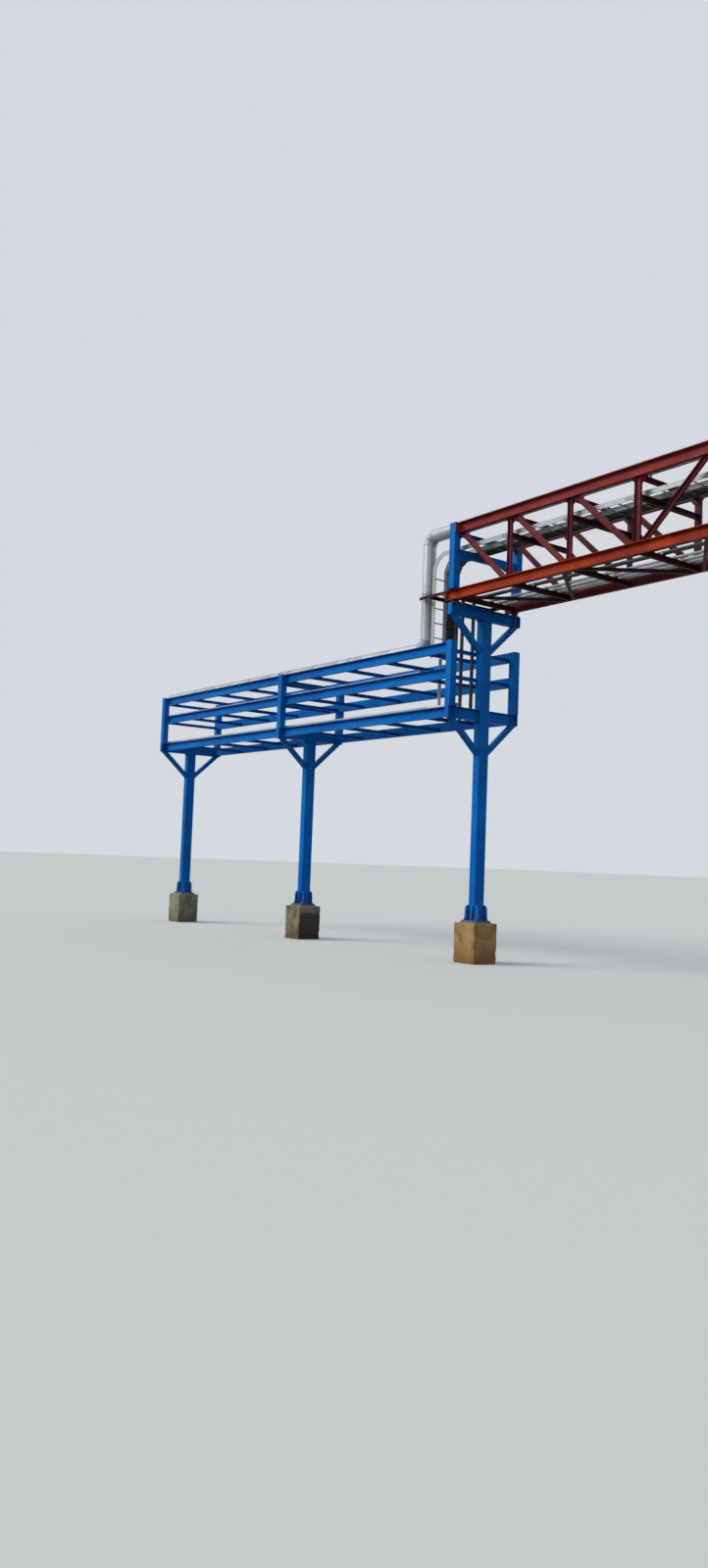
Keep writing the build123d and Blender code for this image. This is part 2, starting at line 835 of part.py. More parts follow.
def power_cables():
    # Thick black cables on the rungs of the far ladder, up the riser and through the truss.
    lift = ladder_rung_lift + ladder_rung_size + fit_gap + cable_diameter / 2
    bend = ladder_bend + lift
    x = ladder_back_x - lift
    first_y = ladder_middles[-1] - (cable_count - 1) / 2 * cable_pitch
    pieces = []
    for i in range(cable_count):
        y = first_y + i * cable_pitch
        pieces += [
            pipe_riser(cable_diameter, x, y, top_tier_top - beam_depth, ladder_head_z - fit_gap),
            pipe_elbow(cable_diameter, (x, y, ladder_head_z), bend, False),
            pipe_run(cable_diameter, 0, y, ladder_level + lift, x + bend + fit_gap,
                     truss_end + pipe_end_overrun),
        ]
    return joined(*pieces)


os.makedirs("parts", exist_ok=True)

for letter, x in zip("abcd", rack_frames + [truss_end]):
    save(pedestal(x), f"pedestal_{letter}")
    save(base_shoe(x), f"base_shoe_{letter}")
    save(column(x, upper_arm_bottom if x in tall_frames else lower_arm_bottom),
         f"column_{letter}")

for letter, x in zip("ab", rack_frames):
    save(arm(x, lower_arm_top, 0), f"arm_{letter}")
save(arm(truss_start, lower_arm_top, column_depth / 2), "arm_c_lower")
save(arm(truss_start, upper_arm_top, 0), "arm_c_upper")
save(arm(truss_end, upper_arm_top, 0), "arm_d")
save(knees([(x, lower_arm_bottom) for x in rack_frames]), "rack_knees")
save(knees([(x, upper_arm_bottom) for x in tall_frames]), "upper_knees")

save(rack_posts(), "rack_posts")
for tier, top in tier_tops.items():
    clearance = arm_width / 2 if tier == "bottom" else post_size / 2
    save(rack_beams(top, clearance), f"beams_{tier}")
    save(rungs(top, tier != "bottom"), f"rungs_{tier}")

save(bearings(), "bearings")
save(chords(chord_bottom, truss_start - chord_overhang, truss_end + chord_overhang,
            chord_end_plate, chord_flange_width), "bottom_chords")
save(chords(upper_chord_bottom, truss_start + post_size / 2 + chord_end_plate,
            truss_end - post_size / 2 - chord_end_plate, chord_end_plate, post_size),
     "top_chords")
save(truss_verticals(), "truss_verticals")
save(truss_diagonals(), "truss_diagonals")
save(truss_gussets(), "truss_gussets")
save(cross_channels(node_places, web_line, chord_bottom + floor_beam_depth, floor_beam_depth,
                    floor_beam_width, floor_beam_wall), "floor_beams")
save(cross_channels(node_places[1:-1], web_line, ladder_level, floor_beam_depth,
                    floor_beam_width, floor_beam_wall), "ladder_beams")
save(cross_angles(node_places), "top_ties")
save(plan_braces(), "plan_braces")
save(portal_posts(), "portal_posts")
save(portal_beams(), "portal_beams")
save(riser_bracket(), "riser_bracket")

save(main_pipe(), "main_pipe")
save(tier_pipes(), "tier_pipes")
save(floor_pipes(), "floor_pipes")
save(dark_pipes(), "dark_pipes")
save(joined(ladder_riser_rails(), ladder_bend_rails(), ladder_run_rails(), ladder_rungs()),
     "cable_ladder")
save(power_cables(), "power_cables")
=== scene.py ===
import math

import bmesh
import bpy
import numpy as np
from mathutils import Matrix, Vector


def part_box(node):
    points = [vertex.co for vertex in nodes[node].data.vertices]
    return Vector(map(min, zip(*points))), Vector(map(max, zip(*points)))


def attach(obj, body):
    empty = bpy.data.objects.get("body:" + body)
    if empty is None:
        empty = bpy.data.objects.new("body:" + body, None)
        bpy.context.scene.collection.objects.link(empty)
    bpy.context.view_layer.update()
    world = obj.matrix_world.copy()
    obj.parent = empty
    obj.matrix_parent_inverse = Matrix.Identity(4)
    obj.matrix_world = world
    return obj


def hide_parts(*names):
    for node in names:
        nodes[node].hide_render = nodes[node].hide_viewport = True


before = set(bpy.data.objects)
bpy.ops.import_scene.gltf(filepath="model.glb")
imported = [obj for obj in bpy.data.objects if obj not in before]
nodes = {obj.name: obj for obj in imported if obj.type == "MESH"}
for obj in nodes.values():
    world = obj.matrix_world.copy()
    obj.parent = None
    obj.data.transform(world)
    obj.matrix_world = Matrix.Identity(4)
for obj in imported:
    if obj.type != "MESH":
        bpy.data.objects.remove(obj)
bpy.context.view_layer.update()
dice = np.random.default_rng(41)
print("frame read:", len(nodes), "nodes")


# Camera, at the place and angle from which the bridge was photographed

cameraSpot = {
    "place": (17.548, -14.929, 1.913),
    "turn": 53.41,      # degrees from +Y toward -X
    "tilt": 3.92,       # degrees above level
    "roll": 2.19,
    "lens": 25.385,     # millimetres on the sensor's height
    "sensor": 36.0,
    "sight": 900,       # metres that it sees
}


def addCamera(spot):
    turn, tilt, roll = (math.radians(spot[key]) for key in ("turn", "tilt", "roll"))
    ahead = Vector((-math.sin(turn) * math.cos(tilt), math.cos(turn) * math.cos(tilt), math.sin(tilt)))
    level = Vector((math.cos(turn), math.sin(turn), 0))
    above = level.cross(ahead)
    right = math.cos(roll) * level + math.sin(roll) * above
    up = math.cos(roll) * above - math.sin(roll) * level
    data = bpy.data.cameras.new("camera")
    data.sensor_fit = "VERTICAL"
    data.sensor_height = spot["sensor"]
    data.lens = spot["lens"]
    data.clip_end = spot["sight"]
    camera = bpy.data.objects.new("camera", data)
    bpy.context.scene.collection.objects.link(camera)
    aim = Matrix((right, up, -ahead)).transposed().to_4x4()
    camera.matrix_world = Matrix.Translation(spot["place"]) @ aim
    bpy.context.scene.camera = camera


addCamera(cameraSpot)
print("camera placed")


# Node helpers

def shade(red, green, blue):
    # A display colour from 0 to 255 as the linear colour that shaders take.
    parts = np.array((red, green, blue)) / 255
    linear = np.where(parts <= 0.04045, parts / 12.92, ((parts + 0.055) / 1.055) ** 2.4)
    return (*linear.tolist(), 1.0)


nodeWork = {"tree": None}      # the node tree that the helpers add to


def addNode(kind, inputs=None, **settings):
    tree = nodeWork["tree"]
    made = tree.nodes.new(kind)
    for key, value in settings.items():
        setattr(made, key, value)
    for key, value in (inputs or {}).items():
        if isinstance(value, bpy.types.NodeSocket):
            tree.links.new(value, made.inputs[key])
        else:
            made.inputs[key].default_value = value
    return made


def newFinish(name):
    # A new material, whose node tree is the open one from here on, and its shader.
    material = bpy.data.materials.new(name)
    material.use_nodes = True
    nodeWork["tree"] = material.node_tree
    return material, material.node_tree.nodes["Principled BSDF"]


def objectPlace(scale=(1, 1, 1)):
    place = addNode("ShaderNodeTexCoord").outputs["Object"]
    if scale == (1, 1, 1):
        return place
    return addNode("ShaderNodeMapping", {"Vector": place, "Scale": scale}).outputs["Vector"]


def axisOf(vector, axis):
    return addNode("ShaderNodeSeparateXYZ", {0: vector}).outputs[axis]


def cloud(place, scale, detail=3.0, rough=0.55, warp=0.0):
    return addNode("ShaderNodeTexNoise", {
        "Vector": place, "Scale": scale, "Detail": detail, "Roughness": rough, "Distortion": warp,
    }).outputs["Fac"]


def cells(place, scale, output):
    return addNode("ShaderNodeTexVoronoi", {"Vector": place, "Scale": scale}).outputs[output]


def band(value, low, high):
    # Smooth step of a value from 0 at low to 1 at high.
    return addNode("ShaderNodeMapRange", {"Value": value, "From Min": low, "From Max": high},
                   interpolation_type="SMOOTHSTEP").outputs["Result"]


# Kinds of patches: where they start and are full on a cloud, and the cloud's scale, detail,
# roughness and warp
grains = {
    "coatTone": (0.36, 0.64, 0.9, 5, 0.6, 0.3), "fading": (0.48, 0.8, 7, 5, 0.65),
    "paintRuns": (0.5, 0.78, 1.0, 6, 0.62), "chips": (0.5, 0.66, 17, 4, 0.7),
    "settledDust": (0.36, 0.66, 2.6, 5, 0.65), "rustSpecks": (0.38, 0.62, 26, 3, 0.7),
    "soilSpecks": (0.56, 0.66, 75, 3, 0.75),
    "dullSheet": (0.42, 0.7, 3.1, 5, 0.65, 0.5), "drips": (0.56, 0.8, 1.0, 5, 0.6),
    "broadZinc": (0.3, 0.7, 1.7, 5, 0.6), "thinZinc": (0.52, 0.7, 6, 5, 0.7),
    "ladderShade": (0.35, 0.65, 3.3, 4, 0.6),
    "darkCast": (0.4, 0.66, 3.2, 6, 0.62, 0.4), "castRuns": (0.5, 0.75, 1.0, 5, 0.6),
    "pitted": (0.5, 0.6, 9, 3),
    "wornBlack": (0.42, 0.72, 5, 5, 0.65), "blackDust": (0.35, 0.65, 9, 4),
}


def patches(place, kind):
    low, high, *grain = grains[kind]
    return band(cloud(place, *grain), low, high)


def reckon(operation, first, second=0.0):
    return addNode("ShaderNodeMath", {0: first, 1: second}, operation=operation).outputs[0]


def times(*values):
    result = values[0]
    for value in values[1:]:
        result = reckon("MULTIPLY", result, value)
    return result


def blend(share, under, over):
    return addNode("ShaderNodeMix", {0: share, 6: under, 7: over}, data_type="RGBA",
                   clamp_factor=True).outputs[2]


def overlay(colour, tone, *masks):
    # A tone over a colour by the product of its masks.
    return blend(times(*masks), colour, tone)


def level(share, under, over):
    return addNode("ShaderNodeMix", {0: share, 2: under, 3: over}, data_type="FLOAT",
                   clamp_factor=True).outputs[0]


def facing(axis):
    return axisOf(addNode("ShaderNodeNewGeometry").outputs["Normal"], axis)


def bevelNormal(radius):
    return addNode("ShaderNodeBevel", {"Radius": radius}, samples=6).outputs["Normal"]


def edgeShare(bevelled):
    # How far the rounded normal leans from the flat one: 0 on a face, more along its edges.
    flat = addNode("ShaderNodeNewGeometry").outputs["Normal"]
    match = addNode("ShaderNodeVectorMath", {0: bevelled, 1: flat}, operation="DOT_PRODUCT")
    return reckon("SUBTRACT", 1.0, match.outputs["Value"])


def bumped(height, strength, distance, normal=None):
    inputs = {"Height": height, "Strength": strength, "Distance": distance}
    if normal is not None:
        inputs["Normal"] = normal
    return addNode("ShaderNodeBump", inputs).outputs["Normal"]


def finishShader(shader, colour, rough, normal, **constants):
    for socket, value in (("Base Color", colour), ("Roughness", rough), ("Normal", normal)):
        nodeWork["tree"].links.new(value, shader.inputs[socket])
    for socket, value in constants.items():
        shader.inputs[socket].default_value = value


# Painted and primed steel

rackBlue = {
    "coat": shade(0, 116, 202), "deep": shade(0, 99, 184), "faded": shade(4, 130, 204),
    "worn": shade(96, 104, 112), "grime": shade(0, 58, 118), "runs": 0.5,
    "dust": shade(128, 116, 98), "dustShare": 0.5, "rustShare": 0.5, "rustFrom": 0.67,
    "wearShare": 0.8, "rough": 0.46, "shine": 0.07, "splashTop": 1.15, "farShadeTone": None,
}
# The far tones of these looks are painted shade on the far side of the truss.
redOxide = {
    "coat": shade(176, 62, 24), "deep": shade(142, 46, 20), "faded": shade(190, 86, 44),
    "worn": shade(92, 60, 50), "grime": shade(84, 34, 24), "runs": 0.55,
    "dust": shade(140, 118, 96), "dustShare": 0.5, "rustShare": 0.75, "rustFrom": 0.58,
    "wearShare": 0.5, "rough": 0.66, "shine": 0.12, "splashTop": 0.0, "farShadeTone": shade(64, 28, 28),
}
chordOxide = {
    **redOxide, "coat": shade(152, 60, 54), "deep": shade(130, 48, 46), "faded": shade(168, 80, 70),
    "grime": shade(80, 32, 30), "farShadeTone": shade(80, 34, 34),
}
maroonOxide = {
    **redOxide, "coat": shade(128, 50, 54), "deep": shade(106, 40, 46), "faded": shade(144, 68, 68),
    "grime": shade(54, 24, 28), "farShadeTone": shade(72, 30, 36),
}
darkOxide = {
    **maroonOxide, "coat": shade(78, 36, 34), "deep": shade(58, 27, 28), "faded": shade(94, 50, 44),
    "grime": shade(32, 20, 22), "farShadeTone": None,
}
rustTones = shade(70, 34, 20), shade(146, 78, 36)
splashTone = shade(112, 92, 68)
paintShares = {"fading": 0.55, "farShadeShare": 0.8, "film": 0.34, "specks": 0.3, "runStretch": (9, 9, 0.6)}


def paintColours(look, place):
    # Coat with slow changes of tone, fading, and grime in runs down the upright faces.
    colour = blend(patches(place, "coatTone"), look["deep"], look["coat"])
    colour = overlay(colour, look["faded"], patches(place, "fading"), paintShares["fading"])
    standing = reckon("SUBTRACT", 1.0, reckon("ABSOLUTE", facing("Z")))
    runs = patches(objectPlace(paintShares["runStretch"]), "paintRuns")
    return overlay(colour, look["grime"], runs, standing, look["runs"])


def paintedSteel(name, look):
    material, shader = newFinish(name)
    place = objectPlace()
    colour = paintColours(look, place)
    if look["farShadeTone"]:
        # Painted shade on the far side, which the near one shelters: its coat is darkened there.
        far = band(axisOf(place, "Y"), 0.3, 0.7)
        colour = overlay(colour, look["farShadeTone"], far, paintShares["farShadeShare"])
    rounded = bevelNormal(0.004)
    edge = band(edgeShare(rounded), 0.01, 0.16)
    colour = overlay(colour, look["worn"], edge, patches(place, "chips"), look["wearShare"])
    dust = times(band(facing("Z"), 0.4, 0.95), patches(place, "settledDust"), look["dustShare"])
    colour = blend(dust, colour, look["dust"])
    spread = band(cloud(place, 2.1, 6, 0.68, 0.4), look["rustFrom"], look["rustFrom"] + 0.1)
    rust = times(spread, patches(place, "rustSpecks"), look["rustShare"])
    colour = blend(rust, colour, blend(cloud(place, 60, 3), *rustTones))
    top = look["splashTop"]
    if top > 0:
        # Soil splashed up from the ground: a thin film below and specks that thin out upwards.
        reach = reckon("ADD", axisOf(place, "Z"), times(cloud(place, 6, 4, 0.7), 0.5))
        film = times(band(reach, top + 0.25, top - 0.15), paintShares["film"])
        specks = times(patches(place, "soilSpecks"), band(reach, top + 0.7, top - 0.1),
                       paintShares["specks"])
        colour = blend(reckon("MAXIMUM", film, specks), colour, splashTone)
    rough = level(dust, level(rust, look["rough"], 0.9), 0.85)
    skin = reckon("ADD", times(cloud(place, 140, 2), 0.35), times(rust, 0.9))
    finishShader(shader, colour, rough, bumped(skin, 0.35, 0.002, rounded),
                 **{"Specular IOR Level": look["shine"]})
    return material


# Sheet cladding of the lagged pipes

cladding = {
    "sheet": shade(186, 190, 194), "dull": shade(158, 162, 166), "seam": shade(96, 98, 100),
    "stain": shade(126, 122, 114), "pipeSteel": shade(58, 52, 48), "metal": 0.55, "rough": 0.44,
    "dulled": 0.4, "stained": 0.45, "seamed": 0.75, "dripStretch": (14, 14, 1.1),
}


def sheetCladding(name, look):
    # Dull patches and drips on sheets of mixed tone; the mesh says where seams and bare steel are.
    material, shader = newFinish(name)
    place = objectPlace()
    tone, seam, core = (addNode("ShaderNodeAttribute", attribute_name=key).outputs["Fac"]
                        for key in ("sheetTone", "seamShare", "coreShare"))
    colour = blend(tone, look["dull"], look["sheet"])
    cloudy = patches(place, "dullSheet")
    colour = overlay(colour, look["dull"], cloudy, look["dulled"])
    drips = patches(objectPlace(look["dripStretch"]), "drips")
    colour = overlay(colour, look["stain"], drips, look["stained"])
    colour = overlay(colour, look["seam"], seam, look["seamed"])
    colour = overlay(colour, look["pipeSteel"], core)
    rough = level(cloudy, look["rough"], look["rough"] + 0.14)
    dents = reckon("ADD", cloud(place, 4.5, 2), times(cloud(place, 30, 2), 0.15))
    finishShader(shader, colour, rough, bumped(dents, 0.25, 0.012), Metallic=look["metal"])
    return material


# Galvanised steel of the cable ladder, bolts and clamps

zincLooks = {
    "zincLadder": {"bright": shade(168, 174, 175), "dark": shade(142, 148, 151), "rust": 0.12,
                   "rough": 0.5, "cell": 120, "ladderShadeFrom": -0.335},
    "zincBolts": {"bright": shade(150, 148, 142), "dark": shade(112, 108, 104), "rust": 0.6,
                  "rough": 0.55, "cell": 160, "ladderShadeFrom": None},
}
# Tone of the painted shade on the far part of the cable ladder
ladderShadeTone = shade(46, 47, 49)
zincRust = shade(112, 66, 38)


def zincSteel(name, look):
    # Crystals of the zinc bath as cells of mixed tone, with rust where the coat is thin.
    material, shader = newFinish(name)
    place = objectPlace()
    tone = addNode("ShaderNodeSeparateColor", {0: cells(place, look["cell"], "Color")}).outputs[0]
    broad = patches(place, "broadZinc")
    colour = blend(reckon("ADD", times(tone, 0.4), times(broad, 0.6)), look["dark"], look["bright"])
    if look["ladderShadeFrom"] is not None:
        # Painted shade on the part of the ladder beyond y = -0.335, under the cables that it carries.
        colour = overlay(colour, ladderShadeTone,
                         band(axisOf(place, "Y"), look["ladderShadeFrom"] - 0.002, look["ladderShadeFrom"] + 0.002),
                         level(patches(place, "ladderShade"), 0.6, 0.85))
    thin = patches(place, "thinZinc")
    colour = overlay(colour, zincRust, thin, look["rust"])
    rough = level(thin, look["rough"], 0.8)
    finishShader(shader, colour, rough, bumped(tone, 0.12, 0.001, bevelNormal(0.002)), Metallic=0.5)
    return material


# Cast concrete of the pedestals

concreteLooks = {
    "concreteA": {"face": shade(152, 151, 128), "dark": shade(104, 104, 88),
                  "soil": shade(112, 88, 62), "soilTop": 0.35, "shadedSide": 0.15},
    "concreteB": {"face": shade(142, 130, 110), "dark": shade(98, 88, 72),
                  "soil": shade(98, 72, 50), "soilTop": 0.35, "shadedSide": 0.85},
    "concreteC": {"face": shade(174, 143, 97), "dark": shade(134, 102, 62),
                  "soil": shade(134, 88, 54), "soilTop": 0.35, "shadedSide": 0.0},
    "concreteD": {"face": shade(146, 136, 116), "dark": shade(100, 90, 74),
                  "soil": shade(104, 78, 52), "soilTop": 0.4, "shadedSide": 0.2},
}
groutShadeTone = shade(104, 99, 90)
# Tone of the painted shade low on the +X side
shadedSideTone = shade(50, 46, 43)
castShares = {"runs": 0.5, "soil": 0.75, "boards": 0.3, "pits": 0.6, "grout": 0.85,
              "runStretch": (13, 13, 0.9)}


def castConcrete(name, look):
    # Shutter-board lines, pores, soil washed up from below, painted shade low on the +X side and grout
    # on top darkened by painted shade.
    material, shader = newFinish(name)
    place = objectPlace()
    height = axisOf(place, "Z")
    colour = blend(patches(place, "darkCast"), look["face"], look["dark"])
    runs = patches(objectPlace(castShares["runStretch"]), "castRuns")
    colour = overlay(colour, look["dark"], runs, castShares["runs"])
    reach = reckon("ADD", height, times(cloud(place, 4, 5, 0.7), 0.4))
    soil = band(reach, look["soilTop"] + 0.3, look["soilTop"] - 0.15)
    colour = overlay(colour, look["soil"], soil, castShares["soil"])
    if look["shadedSide"] > 0:
        # Painted shade low on the side that faces +X, the end of the run.
        shadedFace = band(facing("X"), 0.5, 0.8)
        colour = overlay(colour, shadedSideTone, shadedFace, band(reach, 0.88, 0.76), look["shadedSide"])
    boards = addNode("ShaderNodeTexWave", {
        "Vector": place, "Scale": 1.05, "Distortion": 0.06, "Detail Scale": 3.0,
    }, bands_direction="Z").outputs["Fac"]
    line = band(boards, 0.012, 0.0)
    colour = overlay(colour, look["dark"], line, castShares["boards"])
    pits = times(band(cells(place, 46.0, "Distance"), 0.2, 0.08), patches(place, "pitted"))
    colour = overlay(colour, look["dark"], pits, castShares["pits"])
    # Grout bed on top, its grey darkened as painted shade under the base plate.
    colour = overlay(colour, groutShadeTone, band(height, 0.772, 0.779), castShares["grout"])
    hollows = times(reckon("ADD", pits, times(line, 0.4)), 0.8)
    grain = reckon("SUBTRACT", cloud(place, 70, 4, 0.7), hollows)
    finishShader(shader, colour, level(soil, 0.86, 0.95), bumped(grain, 0.5, 0.004),
                 **{"Specular IOR Level": 0.25})
    return material


# Black coats

blackLooks = {
    "blackPaint": {"coat": shade(26, 27, 31), "worn": shade(54, 52, 52), "rough": 0.45, "grain": 60},
    "blackSheath": {"coat": shade(18, 18, 20), "worn": shade(44, 42, 42), "rough": 0.5, "grain": 90},
}
dustTone = shade(104, 96, 86)


def darkCoat(name, look):
    # Black paint or sheath, worn in patches, with a fine grain and dust on top.
    material, shader = newFinish(name)
    place = objectPlace()
    patch = patches(place, "wornBlack")
    colour = overlay(look["coat"], look["worn"], patch, 0.5)
    top = band(facing("Z"), 0.3, 0.95)
    colour = overlay(colour, dustTone, top, patches(place, "blackDust"), 0.6)
    rough = level(patch, look["rough"], look["rough"] + 0.2)
    finishShader(shader, colour, rough, bumped(cloud(place, look["grain"], 2), 0.2, 0.002))
    return material


blueSteel = paintedSteel("blueSteel", rackBlue)
redSteel = paintedSteel("redSteel", redOxide)
chordSteel = paintedSteel("chordSteel", chordOxide)
maroonSteel = paintedSteel("maroonSteel", maroonOxide)
darkSteel = paintedSteel("darkSteel", darkOxide)
cladSheet = sheetCladding("cladSheet", cladding)
zincLadder, zincBolts = (zincSteel(name, look) for name, look in zincLooks.items())
concretes = {name[-1]: castConcrete(name, look) for name, look in concreteLooks.items()}
blackPaint, blackSheath = (darkCoat(name, look) for name, look in blackLooks.items())


def tieSteel(name):
    # Primed ties of the truss, with the blue of the portals on the two end ones.
    material = maroonSteel.copy()
    material.name = name
    nodeWork["tree"] = material.node_tree
    shader = material.node_tree.nodes["Principled BSDF"]
    primed = shader.inputs["Base Color"].links[0].from_socket
    low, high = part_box("top_ties")
    half = (high.x - low.x) / 2
    away = reckon("ABSOLUTE", reckon("SUBTRACT", axisOf(objectPlace(), "X"), low.x + half))
    ends = reckon("GREATER_THAN", away, half - 0.3)
    coat = blend(cloud(objectPlace(), 4, 4), rackBlue["deep"], rackBlue["faded"])
    material.node_tree.links.new(blend(ends, primed, coat), shader.inputs["Base Color"])
    return material


# The starts of the names of the nodes that each finish goes on
nodeFinishes = {
    blueSteel: ["base_shoe", "column", "arm", "rack_knees", "upper_knees", "rack_posts", "beams",
                "rungs", "portal"],
    redSteel: ["bottom_chords"],
    chordSteel: ["top_chords"],
    maroonSteel: ["truss"],
    darkSteel: ["floor_beams", "ladder_beams", "plan_braces", "bearings", "riser_bracket"],
    tieSteel("tieSteel"): ["top_ties"],
    cladSheet: ["main_pipe", "tier_pipes", "floor_pipes"],
    zincLadder: ["cable_ladder"],
    blackPaint: ["dark_pipes"],
    blackSheath: ["power_cables"],
    **{concrete: [f"pedestal_{letter.lower()}"] for letter, concrete in concretes.items()},
}
slotNames = {
    blueSteel: "rack_paint", maroonSteel: "red_oxide", cladSheet: "cladding",
    zincLadder: "galvanised", zincBolts: "galvanised", blackPaint: "dark_pipe",
    blackSheath: "cable_sheath", **dict.fromkeys(concretes.values(), "concrete"),
}

for finish, starts in nodeFinishes.items():
    for name, node in nodes.items():
        if name.startswith(tuple(starts)):
            for place in node.material_slots:
                place.material = finish
print("finishes on the steelwork")


# Mesh helpers

def gridQuads(rows, columns):
    # Quads between neighbouring points of a grid whose columns close on themselves.
    row = np.arange(rows - 1)[:, None]
    column = np.arange(columns)[None, :]
    beside = (column + 1) % columns
    corners = [row * columns + column, row * columns + beside,
               (row + 1) * columns + beside, (row + 1) * columns + column]
    return np.stack(corners, axis=-1).reshape(-1, 4)


def joinedUp(surfaces):
    # Several (points, quads) surfaces as one.
    shifts = np.cumsum([0] + [len(points) for points, _ in surfaces[:-1]])
    return (np.concatenate([points for points, _ in surfaces]),
            np.concatenate([quads + shift for (_, quads), shift in zip(surfaces, shifts)]))


def repeated(surface, places, axes=None):
    # One small surface at every place; axes holds the three directions it is turned to there.
    points, quads = surface
    places = np.asarray(places, float)
    if axes is None:
        axes = np.tile(np.eye(3), (len(places), 1, 1))
    moved = np.einsum("pi,kij->kpj", points, np.asarray(axes, float)) + places[:, None, :]
    shifted = quads[None] + len(points) * np.arange(len(places))[:, None, None]
    return moved.reshape(-1, 3), shifted.reshape(-1, 4)


def makePiece(name, surface, finish, crease=30, standsFor="", attributes=None):
    # Puts the surface into a mesh, closes its seams and poles, turns its faces outward and rides it.
    points, quads = surface
    mesh = bpy.data.meshes.new(name)
    mesh.from_pydata(points.tolist(), [], quads.tolist())
    for key, values in (attributes or {}).items():
        mesh.attributes.new(key, "FLOAT", "POINT").data.foreach_set("value", values.astype(np.float32))
    work = bmesh.new()
    work.from_mesh(mesh)
    bmesh.ops.remove_doubles(work, verts=work.verts, dist=2e-6)
    bmesh.ops.recalc_face_normals(work, faces=work.faces)
    work.to_mesh(mesh)
    work.free()
    mesh.polygons.foreach_set("use_smooth", np.ones(len(mesh.polygons), bool))
    mesh.set_sharp_from_angle(angle=math.radians(crease))
    mesh.materials.append(finish)
    piece = bpy.data.objects.new(name, mesh)
    bpy.context.scene.collection.objects.link(piece)
    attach(piece, "root")
    if standsFor:
        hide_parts(standsFor)
    print(f"{name}: {len(mesh.polygons)} faces")


def solidsOf(nodeName):
    # The separate solids of a node, each as its array of points. Labels spread along shared
    # points until every triangle of a solid has the same one.
    mesh = nodes[nodeName].data
    points = np.empty(len(mesh.vertices) * 3, np.float32)
    mesh.vertices.foreach_get("co", points)
    points = points.reshape(-1, 3).astype(float)
    corners = np.empty(len(mesh.loops), np.int32)
    mesh.loops.foreach_get("vertex_index", corners)
    _, same = np.unique(np.round(points / 5e-5).astype(np.int64), axis=0, return_inverse=True)
    triangles = same.ravel()[corners].reshape(-1, 3)
    labels = np.arange(same.max() + 1)
    while True:
        spread = labels.copy()
        np.minimum.at(spread, triangles.ravel(), np.repeat(labels[triangles].min(axis=1), 3))
        spread = spread[spread]
        if (spread == labels).all():
            break
        labels = spread
    groups = labels[same.ravel()]
    return [points[groups == group] for group in np.unique(groups)]


def boxesOf(*nodeNames):
    return [(solid.min(axis=0), solid.max(axis=0)) for name in nodeNames for solid in solidsOf(name)]


def boxOf(nodeName):
    return tuple(np.array(corner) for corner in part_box(nodeName))


def aboutZ(reach, angle, height):
    # Points (reach cos a, reach sin a, height), a row for each height.
    return np.stack([reach * np.cos(angle), reach * np.sin(angle), height + 0 * reach], axis=-1)


def turned(rows, sides=12):
    # Surface of revolution: each row has a radius, a height and how six-sided it is. A six-sided
    # row reaches 1 / cos of the angle from its nearest flat.
    angle = 2 * np.pi * np.arange(sides) / sides
    radius, height, sixSided = np.array(rows, float).T[:, :, None]
    corner = 1 / np.cos(angle % (np.pi / 3) - np.pi / 6)
    points = aboutZ(radius * (1 + sixSided * (corner - 1)), angle, height)
    return points.reshape(-1, 3), gridQuads(len(rows), sides)


def ringsAbout(centre, normal, y, reach, angle):
    # Rings about a path in X and Z: centre + reach (cos a along Y + sin a along the normal).
    out = reach * np.sin(angle)
    points = np.stack([centre[:, :1] + out * normal[:, :1], y + reach * np.cos(angle),
                       centre[:, 1:] + out * normal[:, 1:]], axis=-1)
    return points.reshape(-1, 3), gridQuads(*out.shape)


def stacked(outline, rows):
    # An outline at the height of each row, middle + share (outline - middle) wide.
    middle = outline.mean(axis=0)
    points = np.array([np.column_stack([middle + (outline - middle) * share, np.full(len(outline), z)])
                       for z, share in rows])
    return points.reshape(-1, 3), gridQuads(len(rows), len(outline))


def headings(line):
    # Directions along a line in a plane, and its normals (-dz, dy), a quarter turn on from them.
    ahead = np.gradient(line, axis=0)
    ahead /= np.hypot(*ahead.T)[:, None]
    return ahead, np.stack([-ahead[:, 1], ahead[:, 0]], axis=1)


def axesToward(outward):
    # Three directions for each outward one, which comes last.
    outward = np.asarray(outward, float)
    helper = np.where(np.abs(outward[:, 2:3]) < 0.9, (0, 0, 1.0), (1.0, 0, 0))
    aside = np.cross(helper, outward)
    aside /= np.linalg.norm(aside, axis=1)[:, None]
    return np.stack([aside, np.cross(outward, aside), outward], axis=1)


upright = ((0, 0, 1), (0, 1, 0), (-1, 0, 0))      # a strap turned to lie on a riser
inFace = 1e-4           # points this close to a face lie in it
runLength = 1.0         # solids longer than this are runs and risers of a pipe
railLength = 3.0        # and of a ladder these are its rails


# Bolts

boltRound = {"chamfer": 0.002, "nutTop": 0.92, "studTop": 0.85}
bolts = {
    "anchor": {"washer": 0.023, "washerThick": 0.004, "flats": 0.018, "nut": 0.019,
               "stud": 0.012, "studOut": 0.044},
    "stool": {"washer": 0.016, "washerThick": 0.004, "flats": 0.012, "nut": 0.012,
              "stud": 0.008, "studOut": 0.026},
    "clamp": {"washer": 0.011, "washerThick": 0.002, "flats": 0.008, "nut": 0.007,
              "stud": 0.005, "studOut": 0.014},
}
anchor = {"inset": 0.045, "seat": 0.025}
stoolBolt = {"shift": 0.042, "lowSeat": 0.012, "highSeat": 0.011}


